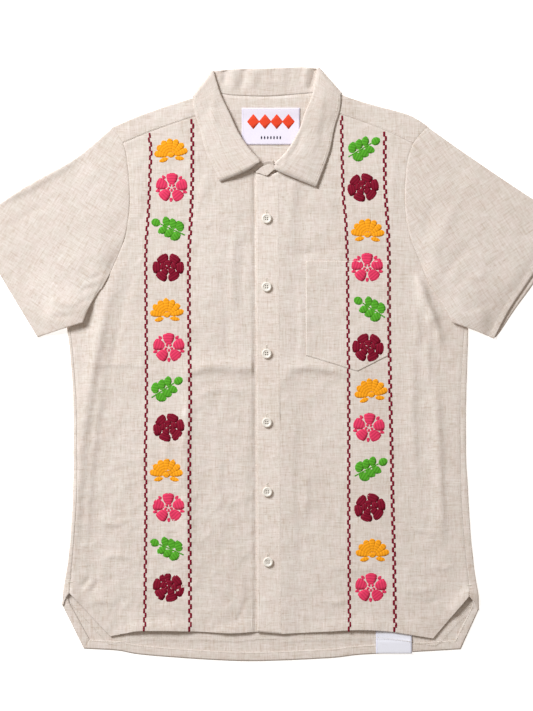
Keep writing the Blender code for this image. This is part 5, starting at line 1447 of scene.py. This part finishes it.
over = np.arange(-BUTTONHOLE_DOWN, BUTTONHOLE_UP, BUTTONHOLE_PITCH)
columns = [spots[:, None] + np.stack([np.full(len(over), aside), over], axis=1)
           for aside in (-BUTTONHOLE_ASIDE, BUTTONHOLE_ASIDE)]
worked = [pads(column.reshape(-1, 2), 0.0, length=1.7, width=0.66, height=0.5, rings=4, sides=5)
          for column in columns]
worked += [pads(spots + (0, end), 0.0, length=3.8, width=1.3, height=0.7)
           for end in (-BUTTONHOLE_DOWN - BARS_PAST[0], BUTTONHOLE_UP + BARS_PAST[1])]
sewn("buttonhole_stitching", worked, on_top(placket_form, PLACKET_WALL, sink=0.06), linen_thread)
# The slits: thin dark pads of painted shade where the cut opens, mottled by noise
slit, tree, shader = new_material("buttonhole_slit")
slit_shade_mottle = add(tree, "TexNoise", {"Vector": add(tree, "TexCoord")["Object"], "Scale": 900.0})["Fac"]
fill(tree, shader, {"Base Color": ramp(tree, slit_shade_mottle, *SLIT_SHADE_COLOURS), "Roughness": 0.95})
middles = spots + (0, (BUTTONHOLE_UP - BUTTONHOLE_DOWN) / 2)
slits = pads(middles, upright, length=BUTTONHOLE_UP + BUTTONHOLE_DOWN - SLIT_SHORTER, width=0.5, height=0.16)
sewn("buttonhole_slits", [slits], on_top(placket_form, PLACKET_WALL, sink=0.0), slit)

# The zigzag lines
# Four lines of maroon satin stitch down the fronts from the yoke seam to the hem, two on each. Each line is
# short upright bars that step from side to side and touch at their corners.

TRIM_LINES = {
    "right": [
        [(-152.6, 295.2), (-150.0, 273.9), (-150.9, 248.3), (-152.1, 213.8), (-153.5, 188.2), (-156.0, 153.6),
         (-156.5, 119.0), (-156.0, 57.6), (-155.6, -46.1), (-156.9, -112.6), (-156.3, -177.9), (-156.9, -244.5),
         (-157.8, -341.5)],
        [(-96.9, 313.1), (-96.9, 248.3), (-97.8, 204.8), (-99.5, 170.9), (-101.1, 137.0), (-101.1, 57.6),
         (-99.5, -46.1), (-100.5, -112.6), (-100.5, -177.9), (-100.1, -244.5), (-99.6, -342.0)],
    ],
    "left": [
        [(94.0, 317.4), (94.8, 273.9), (95.4, 248.3), (96.5, 213.8), (99.1, 188.2), (100.9, 153.6),
         (101.8, 111.4), (102.3, 57.6), (103.3, -46.1), (103.3, -177.9), (103.7, -244.5), (104.3, -341.8)],
        [(149.8, 297.0), (149.4, 256.5), (150.0, 222.7), (151.8, 197.1), (154.0, 162.6), (154.9, 119.0),
         (154.9, 57.6), (156.7, -46.1), (158.3, -112.6), (159.5, -177.9), (161.3, -244.5), (162.8, -342.5)],
    ],
}
BAR_PITCH, BAR_LENGTH, BAR_WIDTHS, BAR_HIGH, BARS_ASIDE = 5.65, 7.3, (2.9, 3.2), 0.5, (0.95, 1.15)
THREAD_SINKS, SATIN_THREAD = 0.12, 90.0
MAROON = (0.215, 0.0045, 0.022)


def dressed_front(side):
    """Top of a front for the embroidery on it: the pocket's top inside the pocket, else the front's own."""
    def form(x, y):
        inside = (x > POCKET_LEFT) & (x < POCKET_RIGHT) & (y < POCKET_TOP) & (y > pocket_low(x)) & (side == "left")
        pocket_top = pocket_form(x, y) + POCKET_WALL / 2
        return np.where(inside, pocket_top, forms[side](x, y) + LINEN_WALL / 2) - THREAD_SINKS

    return form


def zigzag(line, start, wide, aside):
    """Bars along the line, one to each cell of the pitch, stepped to either side by turns."""
    line = smooth(line)
    count = int(lengths(line)[-1] / BAR_PITCH)
    middles, way = laid(line, count)
    by_turns = np.where(np.arange(count) % 2 == start, aside, -aside)
    place = middles + np.stack([-np.sin(way), np.cos(way)], axis=1) * by_turns[:, None]
    return pads(place, way, BAR_LENGTH, wide, BAR_HIGH, square=6.0, rings=7, sides=8)


maroon_thread = thread("maroon_thread", MAROON, SATIN_THREAD, 0.6)
for side in SIDES:
    bars = [zigzag(*each) for each in zip(TRIM_LINES[side], (0, 1), BAR_WIDTHS, BARS_ASIDE)]
    sewn(f"{side}_zigzag_lines", bars, dressed_front(side), maroon_thread)

# The embroidered blossoms
# Between the zigzag lines runs a column of blossoms and sprays in thread, each of one colour: orange fans, pink
# wild roses, green sprays and maroon rosettes. Every petal is a flat pad of satin stitch of its own.

# Each thread's colour, and how deep its painted shade is between the single threads
BLOSSOM_THREADS = {"green": ((0.085, 0.36, 0.022), 0.7), "pink": ((0.72, 0.042, 0.115), 0.75),
                   "orange": ((0.93, 0.345, 0.010), 0.78)}
SPRIG_TOP, SPRIG_PITCH, SPRIG_COUNT = 277.0, 51.2, 12
SPRIG_ASIDE, SPRIG_TILT, SPRIG_SEED = 1.2, 0.16, 14
LEAF_SHRINKS, STEM_PITCH, STEM_STITCH = 0.06, 2.6, 3.9
LEAF_OUTLINE, PETAL_MESH = (-0.1, 1.5), (9, 8)  # a leaf's taper and outline's power, a petal's rings and sides


def petals(middle, count, start, inner, length, width, height, taper=0.35, spread=math.tau, wide=1.0, square=2.4):
    """Petals round a middle: equal turns on an ellipse this much wider than tall, their broad ends outward."""
    turn = start + spread * np.arange(count) / count
    ring = (inner + length / 2) * np.stack([wide * np.cos(turn), np.sin(turn)], axis=1)
    way = np.arctan2(ring[:, 1], ring[:, 0])
    return pads(np.add(middle, ring), way, length, width, height, taper, square, *PETAL_MESH)


def spray(start, way, count, gap, length, width, height, open_by):
    """Leaves in pairs up a stem: each pair a step further on, turned out to both sides, shrinking upward."""
    step = np.arange(count)
    root = np.asarray(start) + np.outer(step * gap, (math.cos(way), math.sin(way)))
    size, groups = 1 - LEAF_SHRINKS * step, []
    for turn in (way - open_by, way + open_by):
        place = root + np.outer(size * length / 2, (math.cos(turn), math.sin(turn)))
        groups.append(pads(place, turn, size * length, size * width, height, *LEAF_OUTLINE, *PETAL_MESH))
    return groups


def stem(points, width, height):
    """Stem stitch: short pads end over end along a smooth line."""
    line = smooth(points)
    return pads(*laid(line, max(2, int(lengths(line)[-1] / STEM_PITCH))), STEM_STITCH, width, height)


def sprigs():
    """The four motifs about their own middles, each with its colour and its groups of pads. Petals give their
    middle, count, first turn, inner ring, length, width and height, and then what differs from the usual."""
    upright = math.pi / 2
    sun = [petals((0, -11), 7, upright - 1.32, 3.6, 20.4, 8.8, 0.45, taper=0.42, spread=0.44 * 7, wide=0.96,
                  square=2.0),
           petals((0, -12), 3, upright - 0.6, -1.0, 7.4, 5.6, 0.75, taper=0.3, spread=0.6 * 3),
           petals((0, -12.5), 2, math.pi + 0.22, 3.0, 15.0, 6.6, 0.4, taper=-0.1, spread=2 * (math.pi - 0.44),
                  square=1.6)]
    flower = [petals((0, 0), 5, upright, 3.2, 16.2, 15.2, 0.5, taper=0.32, wide=1.16),
              petals((0, 0), 5, upright + math.pi / 5, 1.2, 4.4, 3.3, 0.8, taper=0.2, wide=1.1),
              petals((0, 0), 5, upright + math.pi / 5, 12.5, 6.6, 4.6, 0.35, taper=-0.3, wide=1.16)]
    leaves = spray((-17, -8), way=0.46, count=3, gap=9.4, length=18.0, width=12.6, height=0.45, open_by=0.9)
    leaves += [stem([(-21, -11), (-8, -4), (9, 5)], width=2.4, height=0.45),
               petals((8, 4.0), 1, 0.46, 0.5, 14.5, 11.5, 0.5, taper=0.0, square=1.6)]
    rose = [petals((0, 0), 6, 0.15, 6.6, 12.0, 16.6, 0.45, taper=0.16, wide=1.18),
            petals((0, 0), 5, 0.4, 2.0, 8.2, 10.0, 0.65, taper=0.2, wide=1.18),
            petals((0, 0), 3, 0.0, 0.0, 3.9, 4.8, 0.9)]
    return [("orange", sun), ("pink", flower), ("green", leaves), ("maroon", rose)]


def placed(group, middle, hand, tilt):
    """A motif's pads moved to a middle, mirrored by hand and turned by a tilt."""
    plan, up, lay = group
    x, y = plan[..., 0] * hand, plan[..., 1]
    c, d = math.cos(tilt), math.sin(tilt)
    moved = np.stack([x * c - y * d + middle[0], x * d + y * c + middle[1]], axis=-1)
    return (moved[..., ::-1, :], up[..., ::-1], lay[..., ::-1, :]) if hand < 0 else (moved, up, lay)


def column_middle(side, y):
    """The middle between the side's two zigzag lines at a level."""
    inner, outer = (np.array(line)[::-1] for line in TRIM_LINES[side])
    return (np.interp(y, inner[:, 1], inner[:, 0]) + np.interp(y, outer[:, 1], outer[:, 0])) / 2


thread_colours = {"maroon": maroon_thread}
for name, (colour, deep) in BLOSSOM_THREADS.items():
    thread_colours[name] = thread(f"{name}_thread", colour, SATIN_THREAD, deep)
motifs = sprigs()
chance = np.random.default_rng(SPRIG_SEED)
# The motifs come in turn, in the left column from the third one on, and every second time mirrored
for side, hand in SIDES.items():
    coloured = {name: [] for name in thread_colours}
    for k in range(SPRIG_COUNT):
        y = SPRIG_TOP - k * SPRIG_PITCH
        place = (column_middle(side, y) + hand * (-1) ** k * SPRIG_ASIDE, y)
        tilt = chance.uniform(-SPRIG_TILT, SPRIG_TILT)
        name, groups = motifs[(k + (side == "left") * 2) % len(motifs)]
        mirrored = hand * (-1) ** (k // len(motifs))
        coloured[name] += [placed(group, place, mirrored, tilt) for group in groups]
    for name, groups in coloured.items():
        sewn(f"{side}_blossoms_{name}", groups, dressed_front(side), thread_colours[name])

# The floor, the light and the camera
# A plain white floor under a soft even light, with one large lamp from the upper left, and a long lens that
# looks straight down at the shirt.

FLOOR_HALF, FLOOR_LEVEL = 3.0, -0.0002
LAMP_AT, LAMP_POWER, LAMP_SIZE, LAMP_COLOUR = (-2.3, 2.3, 2.6), 204.0, 1.4, (0.955, 1.0, 1.05)

floor_mesh = bpy.data.meshes.new("floor")
corners = [(x * FLOOR_HALF, y * FLOOR_HALF, FLOOR_LEVEL) for x, y in ((-1, -1), (1, -1), (1, 1), (-1, 1))]
floor_mesh.from_pydata(corners, [], [(0, 1, 2, 3)])
paper, tree, shader = new_material("white_paper")
fill(tree, shader, {"Base Color": (0.93, 0.93, 0.93, 1), "Emission Color": (1.0, 1.0, 1.0, 1),
                    "Emission Strength": 0.6, "Roughness": 0.9})
floor_mesh.materials.append(paper)
in_scene("floor", floor_mesh)

world = bpy.data.worlds.new("studio")
world.use_nodes = True
fill(world.node_tree, world.node_tree.nodes["Background"], {"Color": (1.0, 0.91, 0.82, 1), "Strength": 0.36})
bpy.context.scene.world = world

light = bpy.data.lights.new("key_lamp", "AREA")
light.energy, light.size, light.color = LAMP_POWER, LAMP_SIZE, LAMP_COLOUR
lamp = in_scene("key_lamp", light)
lamp.location = LAMP_AT
lamp.rotation_euler = (math.atan2(math.hypot(*LAMP_AT[:2]), LAMP_AT[2]), 0,
                       math.atan2(-LAMP_AT[1], -LAMP_AT[0]) - math.pi / 2)

LENS, SENSOR, SEES_TO = 150.0, 36.0, 50.0
PICTURE_TALL, PICTURE_MIDDLE, PICTURE_LEVEL = 0.91008, (-0.00192, 0.01088), 0.003
camera = bpy.data.cameras.new("camera")
camera.lens, camera.sensor_width, camera.clip_end = LENS, SENSOR, SEES_TO
viewer = in_scene("camera", camera)
viewer.location = (*PICTURE_MIDDLE, PICTURE_LEVEL + LENS / SENSOR * PICTURE_TALL)
bpy.context.scene.camera = viewer
bpy.context.scene.view_settings.view_transform = "Standard"
